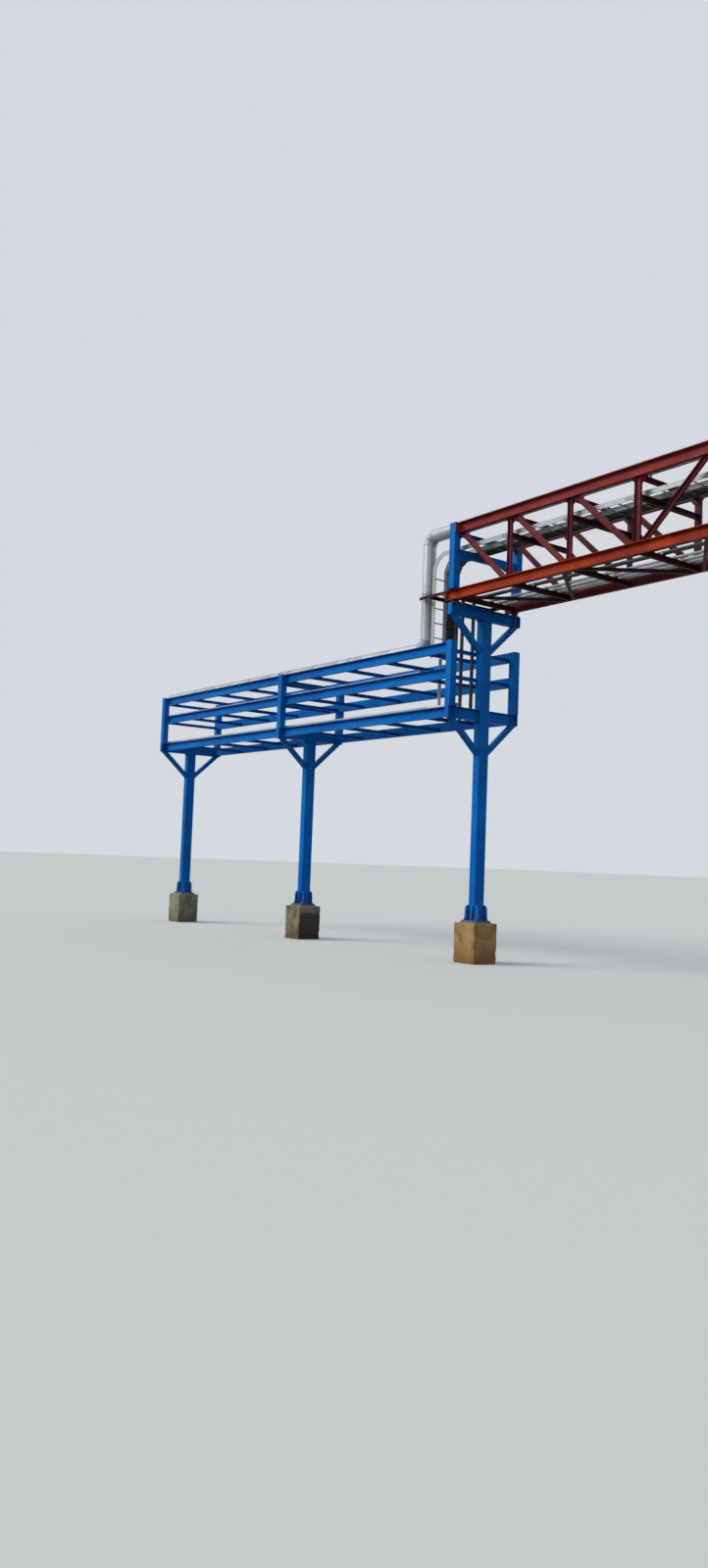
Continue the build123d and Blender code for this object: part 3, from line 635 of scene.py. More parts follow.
def boltSurface(kind):
    washer, low, flats, nut, stud, out = bolts[kind].values()
    top, tip = low + nut, out + boltRound["chamfer"]
    return turned([
        (0, 0, 0), (washer, 0, 0), (washer, low, 0), (flats, low, 1),
        (flats, top - boltRound["chamfer"], 1), (flats * boltRound["nutTop"], top, 0),
        (stud, top, 0), (stud, out, 0), (stud * boltRound["studTop"], tip, 0), (0, tip, 0),
    ])


def anchorPlaces():
    places = []
    for letter in "abcd":
        low, high = boxOf(f"base_shoe_{letter}")
        places += [(x, y, low[2] + anchor["seat"])
                   for x in (low[0] + anchor["inset"], high[0] - anchor["inset"])
                   for y in (low[1] + anchor["inset"], high[1] - anchor["inset"])]
    return places


def stoolPlaces():
    # Two bolts through each plate of a stool: on the arm's flange and on the chord's.
    places = []
    for low, high in boxesOf("bearings"):
        x, y, _ = (low + high) / 2
        places += [(x + shift, y, z)
                   for z in (low[2] + stoolBolt["lowSeat"], high[2] + stoolBolt["highSeat"])
                   for shift in (-stoolBolt["shift"], stoolBolt["shift"])]
    return places


makePiece("anchorBolts", repeated(boltSurface("anchor"), anchorPlaces()), zincBolts)
makePiece("bearingBolts", repeated(boltSurface("stool"), stoolPlaces()), zincBolts)


# Lagged pipes: jackets of sheet with swaged laps, bands, mitred bends and open steel ends

jacket = {
    "sheet": 0.95, "sink": 0.004, "fullSize": 0.1, "mitres": 3,
    "lagging": {"main_pipe": 0.05, "tier_pipes": 0.02, "floor_pipes": 0.02},
    "wideFrom": 0.075, "columns": (36, 60), "mainColumns": 72,
    "capSet": 0.012, "capRound": (0.006, 0.004), "capWide": 0.02,
    "pipeWall": 0.006, "boreDepth": 0.25, "rimRound": 0.002,
    "seamStep": 0.0016, "seamFade": 0.2, "seamFrom": math.radians(205), "seamSharp": 0.006,
    "seamTwist": 0.12, "seamDarkness": 0.9,
}
# Distance from a sheet's free edge, rise there and how dark it is: a band, a bead and the edge
lapRows = np.array([
    (-0.1400, 0, 0.5), (-0.1395, 0.0013, 0), (-0.1185, 0.0013, 0), (-0.1180, 0, 0.5),
    (-0.0340, 0, 0.1), (-0.0280, 0.0036, 0), (-0.0200, 0.0036, 0), (-0.0140, 0.0008, 0.1),
    (0, 0.0012, 0.5), (0.0006, 0, 1), (0.006, 0, 0),
])
# The same at a mitre, before it and after it
mitreRows = (np.array([(-0.016, 0, 0), (-0.012, 0, 0), (-0.006, 0.003, 0)]),
             np.array([(0, 0.003, 0.9), (0.001, 0, 0.6), (0.016, 0, 0)]))
rivet = {"count": 12, "turn": 0.1, "fromEdge": 0.007, "proud": 0.0008, "sides": 6, "rows": [
    (0, -0.001, 0), (0.0032, -0.001, 0), (0.0028, 0.001, 0), (0.0014, 0.0017, 0), (0, 0.0018, 0)]}


def bendCorners(bend):
    # Corners of a quarter bend of gores: tangents of its arc meet at bend / cos(half a step).
    turn = (np.arange(jacket["mitres"]) + 0.5) * np.pi / 2 / jacket["mitres"]
    reach = bend / math.cos(math.pi / 4 / jacket["mitres"])
    return np.stack([reach * np.sin(turn), bend - reach * np.cos(turn)], axis=1)


def mainPath():
    # Centre line in X and Z: the level run on the rack, the riser and the level run in the truss.
    boxes = sorted(boxesOf("main_pipe"), key=lambda box: box[0][0] + box[1][0])
    rackRun, _, riser, _, trussRun = boxes
    riserX = (riser[0][0] + riser[1][0]) / 2
    rackZ, trussZ = [(run[0][2] + run[1][2]) / 2 for run in (rackRun, trussRun)]
    bend = riserX - rackRun[1][0]
    corners = bendCorners(bend)
    lower = corners + (rackRun[1][0], rackZ)
    upper = corners[:, ::-1] + (riserX, trussZ - bend)
    return np.vstack([(rackRun[0][0], rackZ), lower, upper, (trussRun[1][0], trussZ)])


def straightPath(low, high):
    middle = (low + high) / 2
    if high[0] - low[0] > high[2] - low[2]:
        return [(low[0], middle[2]), (high[0], middle[2])]
    return [(middle[0], low[2]), (middle[0], high[2])]


def fineness(radius):
    # Laps and clamps are finer on pipes of less than the full size.
    return min(1, radius / jacket["fullSize"])


def endRows(sheet, bore):
    # Distance inward, reach, darkness and core share at an open end, from the bore over the steel
    # wall to the cap of the sheet.
    steel, (within, below) = bore + jacket["pipeWall"], jacket["capRound"]
    deep, rim, cap = jacket["boreDepth"], jacket["rimRound"], jacket["capSet"]
    return np.array([
        (deep, 0, 0, 1), (deep, bore, 0, 1), (rim, bore, 0, 1), (0, bore + rim, 0, 1), (0, steel, 0, 1),
        (cap, steel, 0, 0.6), (cap, sheet - within, 0, 0.1), (cap - below, sheet, 0, 0),
        (cap + jacket["capWide"], sheet, 0, 0),
    ])


def rivetRing(middle, y, normal, reach):
    # Places and outward directions about a lap: cos a along Y + sin a along the path's normal.
    around = 2 * np.pi * np.arange(rivet["count"]) / rivet["count"] + rivet["turn"]
    aside = np.sin(around)[:, None] * normal
    outward = np.stack([aside[:, 0], np.cos(around), aside[:, 1]], axis=1)
    return np.array((middle[0], y, middle[1])) + outward * reach, outward


def laggedPipe(path, y, radius, bore, columns):
    # Rings about a path whose normal at a mitre is (n1 + n2) / (1 + n1 n2), so that they lie in
    # the mitre's plane. Reach is the sheet's radius + the rise of its laps + a step along the
    # seam that fades as e^(-a / fade). Returns the surface, its attributes and rings of rivets.
    path = np.asarray(path, float)
    legs = np.diff(path, axis=0)
    lengths = np.hypot(*legs.T)
    ahead = legs / lengths[:, None]
    normals = np.stack([-ahead[:, 1], ahead[:, 0]], axis=1)
    mitres = (normals[:-1] + normals[1:]) / (1 + (normals[:-1] * normals[1:]).sum(axis=1))[:, None]
    sheet, small = radius - jacket["sink"], fineness(radius)
    ends = endRows(sheet, bore)
    rings, rivets, count = [], [], 0

    def addRings(rows, place, tone, leg, normal):
        # Along the leg, reach, darkness, core share, sheet, leg, and the normal's X and Z.
        if rows.shape[1] == 3:
            rows = np.pad(rows * (1, small, 1), ((0, 0), (0, 1))) + (place, sheet, 0, 0)
        side = np.ones((len(rows), 1))
        rings.append(np.hstack([rows, side * tone, side * leg, side * normal]))

    addRings(ends, 0, 0, 0, normals[0])
    for leg, length in enumerate(lengths):
        if leg > 0:
            addRings(mitreRows[0], lengths[leg - 1], count, leg - 1, mitres[leg - 1])
            count += 1
            addRings(mitreRows[1], 0, count, leg, mitres[leg - 1])
        sheets = max(1, round(length / jacket["sheet"]))
        for joint in length * np.arange(1, sheets) / sheets:
            addRings(lapRows, joint, count + (lapRows[:, :1] > 0), leg, normals[leg])
            middle = path[leg] + ahead[leg] * (joint - rivet["fromEdge"])
            rivets.append(rivetRing(middle, y, normals[leg], sheet + rivet["proud"]))
            count += 1
    addRings(ends[::-1] * (-1, 1, 1, 1) + (length, 0, 0, 0), 0, count, leg, normals[leg])

    table = np.vstack(rings)
    along, reach, darkness, core, tone, leg = table[:, :6].T
    tone, leg = tone.astype(int), leg.astype(int)
    tones = dice.random(count + 1)
    twist = dice.uniform(-jacket["seamTwist"], jacket["seamTwist"], count + 1)[tone]
    sharp = jacket["seamSharp"]
    turn = np.concatenate([[0, sharp], np.linspace(sharp, 2 * np.pi, columns - 1)[1:-1]])
    step = jacket["seamStep"] * small * np.where(turn > 0, np.exp(-turn / jacket["seamFade"]), 0)
    angle = jacket["seamFrom"] + turn[None, :] + twist[:, None]
    full = reach[:, None] + step * ((core == 0) & (reach > 0))[:, None]
    surface = ringsAbout(path[leg] + ahead[leg] * along[:, None], table[:, 6:], y, full, angle)
    # The seam's column and the laps are drawn darker.
    seam = np.where(turn == 0, jacket["seamDarkness"], 0) * (core == 0)[:, None]
    attributes = {
        "sheetTone": np.repeat(tones[tone], len(turn)),
        "seamShare": np.maximum(darkness[:, None], seam).ravel(),
        "coreShare": np.repeat(core, len(turn)),
    }
    return surface, attributes, rivets


def jacketPiece(name, node, pipes):
    made = [laggedPipe(*pipe) for pipe in pipes]
    attributes = {key: np.concatenate([each[1][key] for each in made]) for key in made[0][1]}
    makePiece(name, joinedUp([each[0] for each in made]), cladSheet, 35, node, attributes)
    return [ring for each in made for ring in each[2]]


def straightPipes(node):
    pipes = []
    for low, high in boxesOf(node):
        radius = (high[1] - low[1]) / 2
        columns = jacket["columns"][int(radius > jacket["wideFrom"])]
        pipes.append((straightPath(low, high), (low[1] + high[1]) / 2, radius,
                      radius - jacket["lagging"][node], columns))
    return pipes


mainLow, mainHigh = boxOf("main_pipe")
mainRadius = (mainHigh[1] - mainLow[1]) / 2
mainPipe = (mainPath(), (mainLow[1] + mainHigh[1]) / 2, mainRadius,
            mainRadius - jacket["lagging"]["main_pipe"], jacket["mainColumns"])
rivets = jacketPiece("mainJacket", "main_pipe", [mainPipe])
rivets += jacketPiece("tierJackets", "tier_pipes", straightPipes("tier_pipes"))
jacketPiece("floorJackets", "floor_pipes", straightPipes("floor_pipes"))
rivetPlaces, rivetOutward = (np.concatenate(part) for part in zip(*rivets))
rivetHeads = repeated(turned(rivet["rows"], rivet["sides"]), rivetPlaces, axesToward(rivetOutward))
makePiece("jacketRivets", rivetHeads, zincBolts)


# Cast pedestals with worn arrises and a grout bed

castBlock = {
    "columns": 128, "rows": 44, "chamfer": 0.012, "top": 0.775, "foot": 0.02, "ease": 0.004,
    "groutHalf": 0.235, "groutChamfer": 0.03, "groutTop": 0.800, "groutSpill": 0.012,
    "deepest": 0.006, "chipDepth": 0.011, "chipFine": 2.3, "chipFrom": 0.9, "chipSpan": 1.2,
    "arrisFrom": 0.86, "rimReach": 0.05,
    "waves": np.array([(7.1, 3.3, 5.2), (-4.6, 8.8, 2.9), (13.5, -9.1, 17.3), (21.0, 16.4, -11.8),
                       (-31.0, 27.5, 24.1)]),
    "shares": np.array([0.34, 0.26, 0.18, 0.13, 0.09]),
}


def squareReach(angle, half, chamfer):
    # Reach of a square with cut corners: the least of half / |cos|, half / |sin| and
    # (2 half - chamfer) / (|cos| + |sin|).
    across, along = np.abs(np.cos(angle)), np.abs(np.sin(angle))
    return np.minimum((2 * half - chamfer) / (across + along), half / np.maximum(across, along))


def pedestalRows(look):
    # Rows of height, share of the block, share of the grout bed and how far in.
    top, bed, ease = look["top"], look["groutTop"], look["ease"]
    sides = np.linspace(look["foot"], top - 3 * ease, look["rows"])
    return np.array([
        (0, 0, 0, 0), (0, 1, 0, ease), (ease, 1, 0, 0), *((z, 1, 0, 0) for z in sides),
        (top - ease, 1, 0, 0.75 * ease), (top, 1, 0, 2.25 * ease), (top, 0, 1, -look["groutSpill"]),
        (top, 0, 1, 0), (bed - ease, 0, 1, 2.25 * ease), (bed, 0, 1, 3.5 * ease), (bed, 0, 0, 0),
    ])


def pedestalSurface(low, high, phases, look=castBlock):
    # Reach at an angle and height = cut square - hollow, where the hollow is a sum of plane waves
    # between 0 and the deepest, and grows along the arrises by a second sum that is cut off at 0.
    # The top steps in to the grout bed, whose reach falls evenly with its height.
    angle = 2 * np.pi * (np.arange(look["columns"]) + 0.5) / look["columns"]
    middle = (low + high) / 2
    height, block, grout, inset = pedestalRows(look).T[:, :, None]
    reach = (block * squareReach(angle, (high[0] - low[0]) / 2, look["chamfer"])
             + grout * squareReach(angle, look["groutHalf"], look["groutChamfer"]) - inset)
    flat = aboutZ(reach, angle, height)
    waves = np.sin(flat @ look["waves"].T + phases)
    hollow = look["deepest"] * (0.5 + 0.5 * (waves @ look["shares"]))
    arris = np.clip(np.abs(np.sin(2 * angle)) - look["arrisFrom"], 0, 1) / (1 - look["arrisFrom"])
    rim = np.clip(1 - np.abs(height - look["top"]) / look["rimReach"], 0, 1)
    ripples = np.sin(flat @ (look["chipFine"] * look["waves"][:4].T) + phases[:4]).sum(axis=-1)
    chips = np.clip(ripples - look["chipFrom"], 0, look["chipSpan"]) / look["chipSpan"]
    hollow = hollow + look["chipDepth"] * chips * np.clip(arris + rim, 0, 1)
    points = aboutZ(reach - hollow * block, angle, height) + (*middle[:2], 0)
    return points.reshape(-1, 3), gridQuads(len(height), len(angle))


for letter in "ABCD":
    node = f"pedestal_{letter.lower()}"
    surface = pedestalSurface(*boxOf(node), dice.uniform(0, 2 * np.pi, len(castBlock["waves"])))
    makePiece(f"pedestalCast{letter}", surface, concretes[letter], 50, node)


# Base shoes: a plate, and ribs that carry on the column's faces, each with a squarish curved edge

shoe = {
    "plate": 0.025, "ease": 0.003, "cut": 0.004, "rib": 0.012, "ribHeight": 0.3, "ribReach": 0.192,
    "squareness": 4.0, "edgeSteps": 13, "sunk": 0.001, "columnHalf": (0.08, 0.125), "ribIn": 0.0065,
}


def slab(outline, thick, ease):
    # A flat shape whose outline draws in by about the ease at both faces.
    share = 1 - ease / np.hypot(*(outline - outline.mean(axis=0)).T).mean()
    rows = [(0, 0), (0, share), (ease, 1), (thick - ease, 1), (thick, share), (thick, 0)]
    return stacked(outline, rows)


def cutSquare(half, cut):
    # A square with small cut corners, made of one corner turned three times.
    corner = np.array([(half, half - cut), (half - cut, half)])
    quarter = np.array([(0, 1), (-1, 0)])
    return np.vstack([corner @ np.linalg.matrix_power(quarter, turn) for turn in range(4)])


def ribSurface(span):
    # The outer edge is (d / span)^4 + (z / height)^4 = 1, d outward from the column's face.
    turn = np.linspace(0, np.pi / 2, shoe["edgeSteps"])
    power, sunk, high = 2 / shoe["squareness"], shoe["sunk"], shoe["ribHeight"]
    edge = np.stack([span * np.cos(turn) ** power, high * np.sin(turn) ** power], axis=1)
    outline = np.vstack([(-sunk, -sunk), edge + (0, -sunk), (-sunk, high)])
    points, quads = slab(outline, shoe["rib"], shoe["ease"] / 2)
    return points[:, (0, 2, 1)] - (0, shoe["rib"] / 2, 0), quads


def ribFeet(low, high):
    # Where the middle of each rib's foot meets the column's face, that face's distance from the
    # column's middle, and the directions outward and aside.
    middle = (low + high) / 2
    foot = np.array((middle[0], middle[1], low[2] + shoe["plate"]))
    for axis, face in enumerate(shoe["columnHalf"]):
        spread = shoe["columnHalf"][1 - axis] - shoe["ribIn"]
        aside = np.eye(3)[1 - axis]
        for outward in (-np.eye(3)[axis], np.eye(3)[axis]):
            for shift in (-spread, spread):
                yield foot + outward * face + aside * shift, face, outward, aside


def shoeSurface(low, high):
    middle = (low + high) / 2
    plate, quads = slab(cutSquare((high[0] - low[0]) / 2, shoe["cut"]), shoe["plate"], shoe["ease"])
    ribs = [repeated(ribSurface(shoe["ribReach"] - face), [foot], [(outward, aside, (0, 0, 1))])
            for foot, face, outward, aside in ribFeet(low, high)]
    return joinedUp([(plate + (middle[0], middle[1], low[2]), quads), *ribs])


for letter in "ABCD":
    node = f"base_shoe_{letter.lower()}"
    makePiece(f"baseShoe{letter}", shoeSurface(*boxOf(node)), blueSteel, 35, node)


# Saddle clamps over the pipes, on every rung, tie and floor beam that carries them

clamp = {"wide": 0.040, "thick": 0.003, "foot": 0.040, "boltShare": 0.6, "arcSteps": 15,
         "sunk": 0.0042, "bareSunk": 0.002, "gap": 0.006, "heel": 0.008, "lift": 0.0004}


def barAlong(line, wide, thick):
    # Flat bar carried along a line in Y and Z. Each place gives four corners: minus and plus half
    # the width along X, at 0 and at the thickness along the line's normal.
    line = np.asarray(line, float)
    outer = line + headings(line)[1] * thick
    side = wide / 2
    rows = [np.column_stack([np.full(len(line), x), edge])
            for x, edge in ((-side, line), (side, line), (side, outer), (-side, outer))]
    points = np.stack(rows, axis=1)
    middle = points.mean(axis=1, keepdims=True)
    ends = [np.repeat(middle[[end]], 4, axis=1) for end in (0, -1)]
    points = np.concatenate([ends[0], points, ends[1]])
    return points.reshape(-1, 3), gridQuads(len(points), 4)


def saddle(radius, pipeRadius, feet=(clamp["foot"], clamp["foot"])):
    # A foot, up to the middle of the pipe, the half circle (r cos a, r sin a), down and a foot.
    turn = np.linspace(math.pi, 0, clamp["arcSteps"])
    arc = np.stack([radius * np.cos(turn), radius * np.sin(turn)], axis=1)
    seat, heel = clamp["lift"] - pipeRadius, clamp["heel"]
    ends = [[(side * (radius + foot), seat), (side * (radius + heel), seat),
             (side * radius, seat + heel)] for side, foot in zip((-1, 1), feet)]
    return barAlong(np.vstack([ends[0], arc, ends[1][::-1]]), clamp["wide"], clamp["thick"])


def levelRuns(node):
    return [(low, high) for low, high in boxesOf(node) if high[0] - low[0] > runLength]


def clampJobs():
    # For each level pipe: its box and the places of what carries it.
    rackRun, trussRun = sorted(levelRuns("main_pipe"), key=lambda box: box[0][0])
    midRun, slimRun = sorted(levelRuns("tier_pipes"), key=lambda box: -box[0][2])
    jobs = [(rackRun, boxesOf("rungs_top")), (trussRun, boxesOf("top_ties")),
            (midRun, boxesOf("rungs_mid")), (slimRun, [boxOf("arm_a"), boxOf("arm_b")])]
    floor = boxesOf("floor_beams")
    return jobs + [(run, floor) for run in levelRuns("floor_pipes") + levelRuns("dark_pipes")]


def addClamps():
    # A foot is cut short where a beam's web stands close to the pipe, and then has no bolt.
    straps, studs = [], []
    web = min(min(abs(low[1]), abs(high[1])) for low, high in boxesOf("rack_posts"))
    for (low, high), carriers in clampJobs():
        radius = (high[1] - low[1]) / 2
        middle = (low + high) / 2
        inner = radius - clamp["sunk"] * fineness(radius)
        feet = [min(clamp["foot"], room - clamp["gap"]) for room in (low[1] + web, web - high[1])]
        along = [(a[0] + b[0]) / 2 for a, b in carriers if a[0] > low[0] and b[0] < high[0]]
        if along:
            places = [(x, middle[1], middle[2]) for x in along]
            straps.append(repeated(saddle(inner, radius, feet), places))
        reach = inner + clamp["foot"] * clamp["boltShare"]
        studs += [(x, middle[1] + side * reach, middle[2] - radius + clamp["thick"]) for x in along
                  for side, foot in zip((-1, 1), feet) if foot == clamp["foot"]]
    makePiece("saddleClamps", joinedUp(straps), zincBolts, 35)
    makePiece("clampBolts", repeated(boltSurface("clamp"), studs), zincBolts)


addClamps()


# Bare pipes and cables with true bends

barePipe = {"step": 0.1, "bendSteps": 13, "columns": 32, "sunk": 0.002, "wall": 0.005, "bore": 0.2,
            "weldPitch": 3, "beadRise": 0.002, "beadWide": 0.006}
cable = {"step": 0.15, "bendSteps": 17, "columns": 24, "sunk": 0.0005, "wander": 0.004,
         "pace": 0.55, "settle": 0.4, "phase": 1.7}


def levelRoute(node):
    # The level runs of a node with the riser below each one.
    risers = [(low, high) for low, high in boxesOf(node)
              if high[2] - low[2] > runLength > high[0] - low[0]]
    pairs = zip(*(sorted(boxes, key=lambda box: box[0][1]) for boxes in (levelRuns(node), risers)))
    routes = []
    for (low, high), (foot, head) in pairs:
        x = (foot[0] + head[0]) / 2
        routes.append({"foot": (x, foot[2]), "level": (low[2] + high[2]) / 2, "bend": low[0] - x,
                       "end": high[0], "y": (low[1] + high[1]) / 2, "radius": (high[1] - low[1]) / 2})
    return routes


def routePoints(route, step, bendSteps):
    # Up from the foot, a quarter circle (b - b cos a, b sin a) of the bend, and along to the end.
    # Also the distance of each point from the foot.
    x, foot = route["foot"]
    bend, top, end = route["bend"], route["level"], route["end"]
    turn = np.linspace(0, np.pi / 2, bendSteps)
    arc = np.stack([x + bend - bend * np.cos(turn), top - bend + bend * np.sin(turn)], axis=1)
    rise = np.arange(foot, top - bend - 0.01, step)
    run = np.arange(x + bend + step, end - 0.3 * step, step)
    line = np.vstack([np.column_stack([np.full(len(rise), x), rise]), arc,
                      np.column_stack([run, np.full(len(run), top)]), (end, top)])
    return line, np.concatenate([[0], np.cumsum(np.hypot(*np.diff(line, axis=0).T))])


def tubeAlong(line, y, radius, columns, bore=0.0):
    # Rings about a line, whose radius and y may change along it. With a bore the ends are open
    # a little way in.
    deep = barePipe["bore"]
    inside = np.array([(deep, 0), (deep, bore), (0, bore)] if bore else [(0, 0)], float)
    radius, y = (np.broadcast_to(value, len(line)).astype(float) for value in (radius, y))
    ahead, normal = headings(line)
    centre = np.vstack([line[0] + ahead[0] * inside[:, :1], line,
                        line[-1] - ahead[-1] * inside[::-1, :1]])
    normal = np.pad(normal, ((len(inside), len(inside)), (0, 0)), mode="edge")
    across = np.pad(y, len(inside), mode="edge")[:, None]
    reach = np.concatenate([inside[:, 1], radius, inside[::-1, 1]])[:, None]
    return ringsAbout(centre, normal, across, reach, 2 * np.pi * np.arange(columns)[None, :] / columns)


def weldedPipe(route):
    # The bare pipe with a butt weld every 3 m and at both ends of its bend: the radius rises by
    # 2 mm e^(-(s / 6 mm)^2) at a weld.
    line, along = routePoints(route, barePipe["step"], barePipe["bendSteps"])
    bendStart = route["level"] - route["bend"] - route["foot"][1]
    bendEnd = bendStart + route["bend"] * math.pi / 2
    pitch, wide = barePipe["weldPitch"], barePipe["beadWide"]
    welds = np.concatenate([[bendStart, bendEnd], np.arange(bendEnd + pitch, along[-1] - 1, pitch)])
    near = welds[:, None] + wide * np.array((-2, -1, -0.5, 0, 0.5, 1, 2))
    fine = np.unique(np.clip(np.concatenate([along, near.ravel()]), 0, along[-1]).round(5))
    smooth = np.stack([np.interp(fine, along, line[:, axis]) for axis in (0, 1)], axis=1)
    bead = barePipe["beadRise"] * np.exp(-((fine[:, None] - welds[None, :]) / wide) ** 2).sum(axis=1)
    return tubeAlong(smooth, route["y"], route["radius"] - barePipe["sunk"] + bead, barePipe["columns"],
                     route["radius"] - barePipe["wall"])


def layCable(route, phase):
    # A cable that wanders a little between its cleats: y + 4 mm sin(s / 0.55 + phase).
    line, along = routePoints(route, cable["step"], cable["bendSteps"])
    wander = (cable["wander"] * np.sin(along / cable["pace"] + phase)
              * np.clip(along / cable["settle"], 0, 1))
    return tubeAlong(line, route["y"] + wander, route["radius"] - cable["sunk"], cable["columns"])


bareRoutes, cableRoutes = levelRoute("dark_pipes"), levelRoute("power_cables")
pipes = [weldedPipe(route) for route in bareRoutes]
cables = [layCable(route, cable["phase"] * i) for i, route in enumerate(cableRoutes)]
makePiece("barePipes", joinedUp(pipes), blackPaint, 40, "dark_pipes")
makePiece("cables", joinedUp(cables), blackSheath, 40, "power_cables")


# Cleats over the cables, clips of the bare risers and splice plates of the ladders

cleat = {"wide": 0.03, "thick": 0.003, "foot": 0.02, "runEvery": 3, "riserEvery": 2, "beside": 0.002,
         "over": 0.0015, "heel": 0.002, "shoulder": 0.004}
splice = {"length": 0.2, "height": 0.056, "thick": 0.004, "pitch": 2.9, "first": 1.7, "last": 0.3,
          "boltsAlong": (0.024, 0.078), "boltUp": 0.015, "points": 24, "corner": 0.25,
          "ease": 0.001, "face": 0.98}


def addCleats():
    # A hat-shaped strap over all the cables: feet, sides and top, the same on both sides.
    first, last = cableRoutes[0], cableRoutes[-1]
    middle = (first["y"] + last["y"]) / 2
    reach = (last["y"] - first["y"]) / 2 + first["radius"] + cleat["beside"]
    depth = 2 * first["radius"] + cleat["over"]
    heel, shoulder = cleat["heel"], cleat["shoulder"]
    half = [(reach + cleat["foot"], 0), (reach + heel, 0), (reach, heel), (reach, depth - shoulder),
            (reach - shoulder, depth)]
    hat = [(-y, z) for y, z in half] + [(0, depth)] + half[::-1]
    rungs = [(low, high) for low, high in boxesOf("cable_ladder")
             if high[1] - low[1] > 0.2 and low[1] < middle < high[1]]
    bend = first["level"] - 0.2
    level = sorted(((low[0] + high[0]) / 2, high[2]) for low, high in rungs if low[2] > bend)
    rising = sorted(((low[2] + high[2]) / 2, low[0]) for low, high in rungs if low[2] < bend)
    places = [(x, middle, z) for x, z in level[::cleat["runEvery"]]]
    lying = len(places)
    places += [(x, middle, z) for z, x in rising[1::cleat["riserEvery"]]]
    axes = np.tile(np.eye(3), (len(places), 1, 1))
    axes[lying:] = upright
    strap = barAlong(hat, cleat["wide"], cleat["thick"])
    makePiece("cableCleats", repeated(strap, places, axes), zincBolts)


def addRiserClips():
    # Saddle clamps turned on their side, on the tie behind the bare risers.
    clips = []
    ties = boxesOf("rungs_mid", "rungs_top")
    for route in bareRoutes:
        x, foot = route["foot"]
        radius = route["radius"]
        clip = saddle(radius - clamp["bareSunk"], radius)
        clips += [repeated(clip, [(x, route["y"], (low[2] + high[2]) / 2)], [upright])
                  for low, high in ties if abs(low[0] - x - radius) < 0.01 and low[2] > foot]
    makePiece("riserClips", joinedUp(clips), zincBolts)


def plateSurface(length, height, thick):
    # A plate with rounded corners and a small chamfer: the outline is a superellipse
    # (|cos a|^0.25, |sin a|^0.25) with its signs.
    angle = 2 * np.pi * (np.arange(splice["points"]) + 0.5) / splice["points"]
    circle = np.stack([np.cos(angle), np.sin(angle)], axis=1)
    outline = np.sign(circle) * np.abs(circle) ** splice["corner"] * (length / 2, height / 2)
    rows = [(0, 0), (0, 1), (thick - splice["ease"], 1), (thick, splice["face"]), (thick, 0)]
    return stacked(outline, rows)


def addSplices():
    # On the outer faces of the outermost rails.
    plates, studs, outward = [], [], []
    rails = [(low, high) for low, high in boxesOf("cable_ladder") if high[0] - low[0] > railLength]
    nearest, farthest = min(low[1] for low, _ in rails), max(high[1] for _, high in rails)
    faces = [(low, high, y, side) for low, high in rails for y, side in ((low[1], -1), (high[1], 1))
             if y in (nearest, farthest)]
    plate = plateSurface(splice["length"], splice["height"], splice["thick"])
    for low, high, y, side in faces:
        z = (low[2] + high[2]) / 2
        for x in np.arange(low[0] + splice["first"], high[0] - splice["last"], splice["pitch"]):
            plates.append(repeated(plate, [(x, y, z)], [((1, 0, 0), (0, 0, -side), (0, side, 0))]))
            studs += [(x + way * shift, y + side * splice["thick"], z + up * splice["boltUp"])
                      for way in (-1, 1) for shift in splice["boltsAlong"] for up in (-1, 1)]
            outward += [(0, side, 0)] * 8
    makePiece("splicePlates", joinedUp(plates), zincLadder)
    makePiece("spliceBolts", repeated(boltSurface("clamp"), studs, axesToward(outward)), zincLadder)


addCleats()
addRiserClips()
addSplices()


# Weld beads along the joints of the steelwork

weld = {"step": 0.006, "columns": 6, "turn": 0.3, "fillet": 0.0075, "rise": 0.0042, "seamWide": 0.009,
        "seamRise": 0.0016, "seamStop": 0.012, "ripples": ((0.14, 520, 0), (0.1, 171, 9))}


def weldBeads(lines, wide, rise):
    # Each line has a start, an end and the way it faces. Its bead is an ellipse of axes wide and
    # rise carried along it: p + wide cos a S + rise sin a O, O facing outward and S across the
    # line. Both axes swell with 1 + 0.14 sin(520 s) + 0.1 sin(171 s + start), as hand welds do.
    beads = []
    angle = 2 * np.pi * np.arange(weld["columns"]) / weld["columns"] + weld["turn"]
    for start, end, outward in lines:
        start, end, outward = (np.asarray(value, float) for value in (start, end, outward))
        length = np.linalg.norm(end - start)
        ahead = (end - start) / length
        outward = outward - ahead * (outward @ ahead)
        outward = outward / np.linalg.norm(outward)
        across = np.cross(outward, ahead)
        along = np.linspace(0, length, max(3, int(length / weld["step"])))
        swell = 1 + sum(share * np.sin(pace * along + shift * start.sum())
                        for share, pace, shift in weld["ripples"])
        swell[[0, -1]] = 0
        offset = wide * np.cos(angle)[:, None] * across + rise * np.sin(angle)[:, None] * outward
        points = start + ahead * along[:, None, None] + swell[:, None, None] * offset
        beads.append((points.reshape(-1, 3), gridQuads(len(along), weld["columns"])))
    return joinedUp(beads)


def columnSeams():
    # The closing seams of the boxed channels, up the middle of both broad faces.
    lines = []
    for letter in "abcd":
        low, high = boxOf(f"base_shoe_{letter}")
        top = boxOf(f"column_{letter}")[1][2] - weld["seamStop"]
        x, face = (low[0] + high[0]) / 2, shoe["columnHalf"][1]
        lines += [((x, side * face, high[2]), (x, side * face, top), (0, side, 0)) for side in (-1, 1)]
    return lines


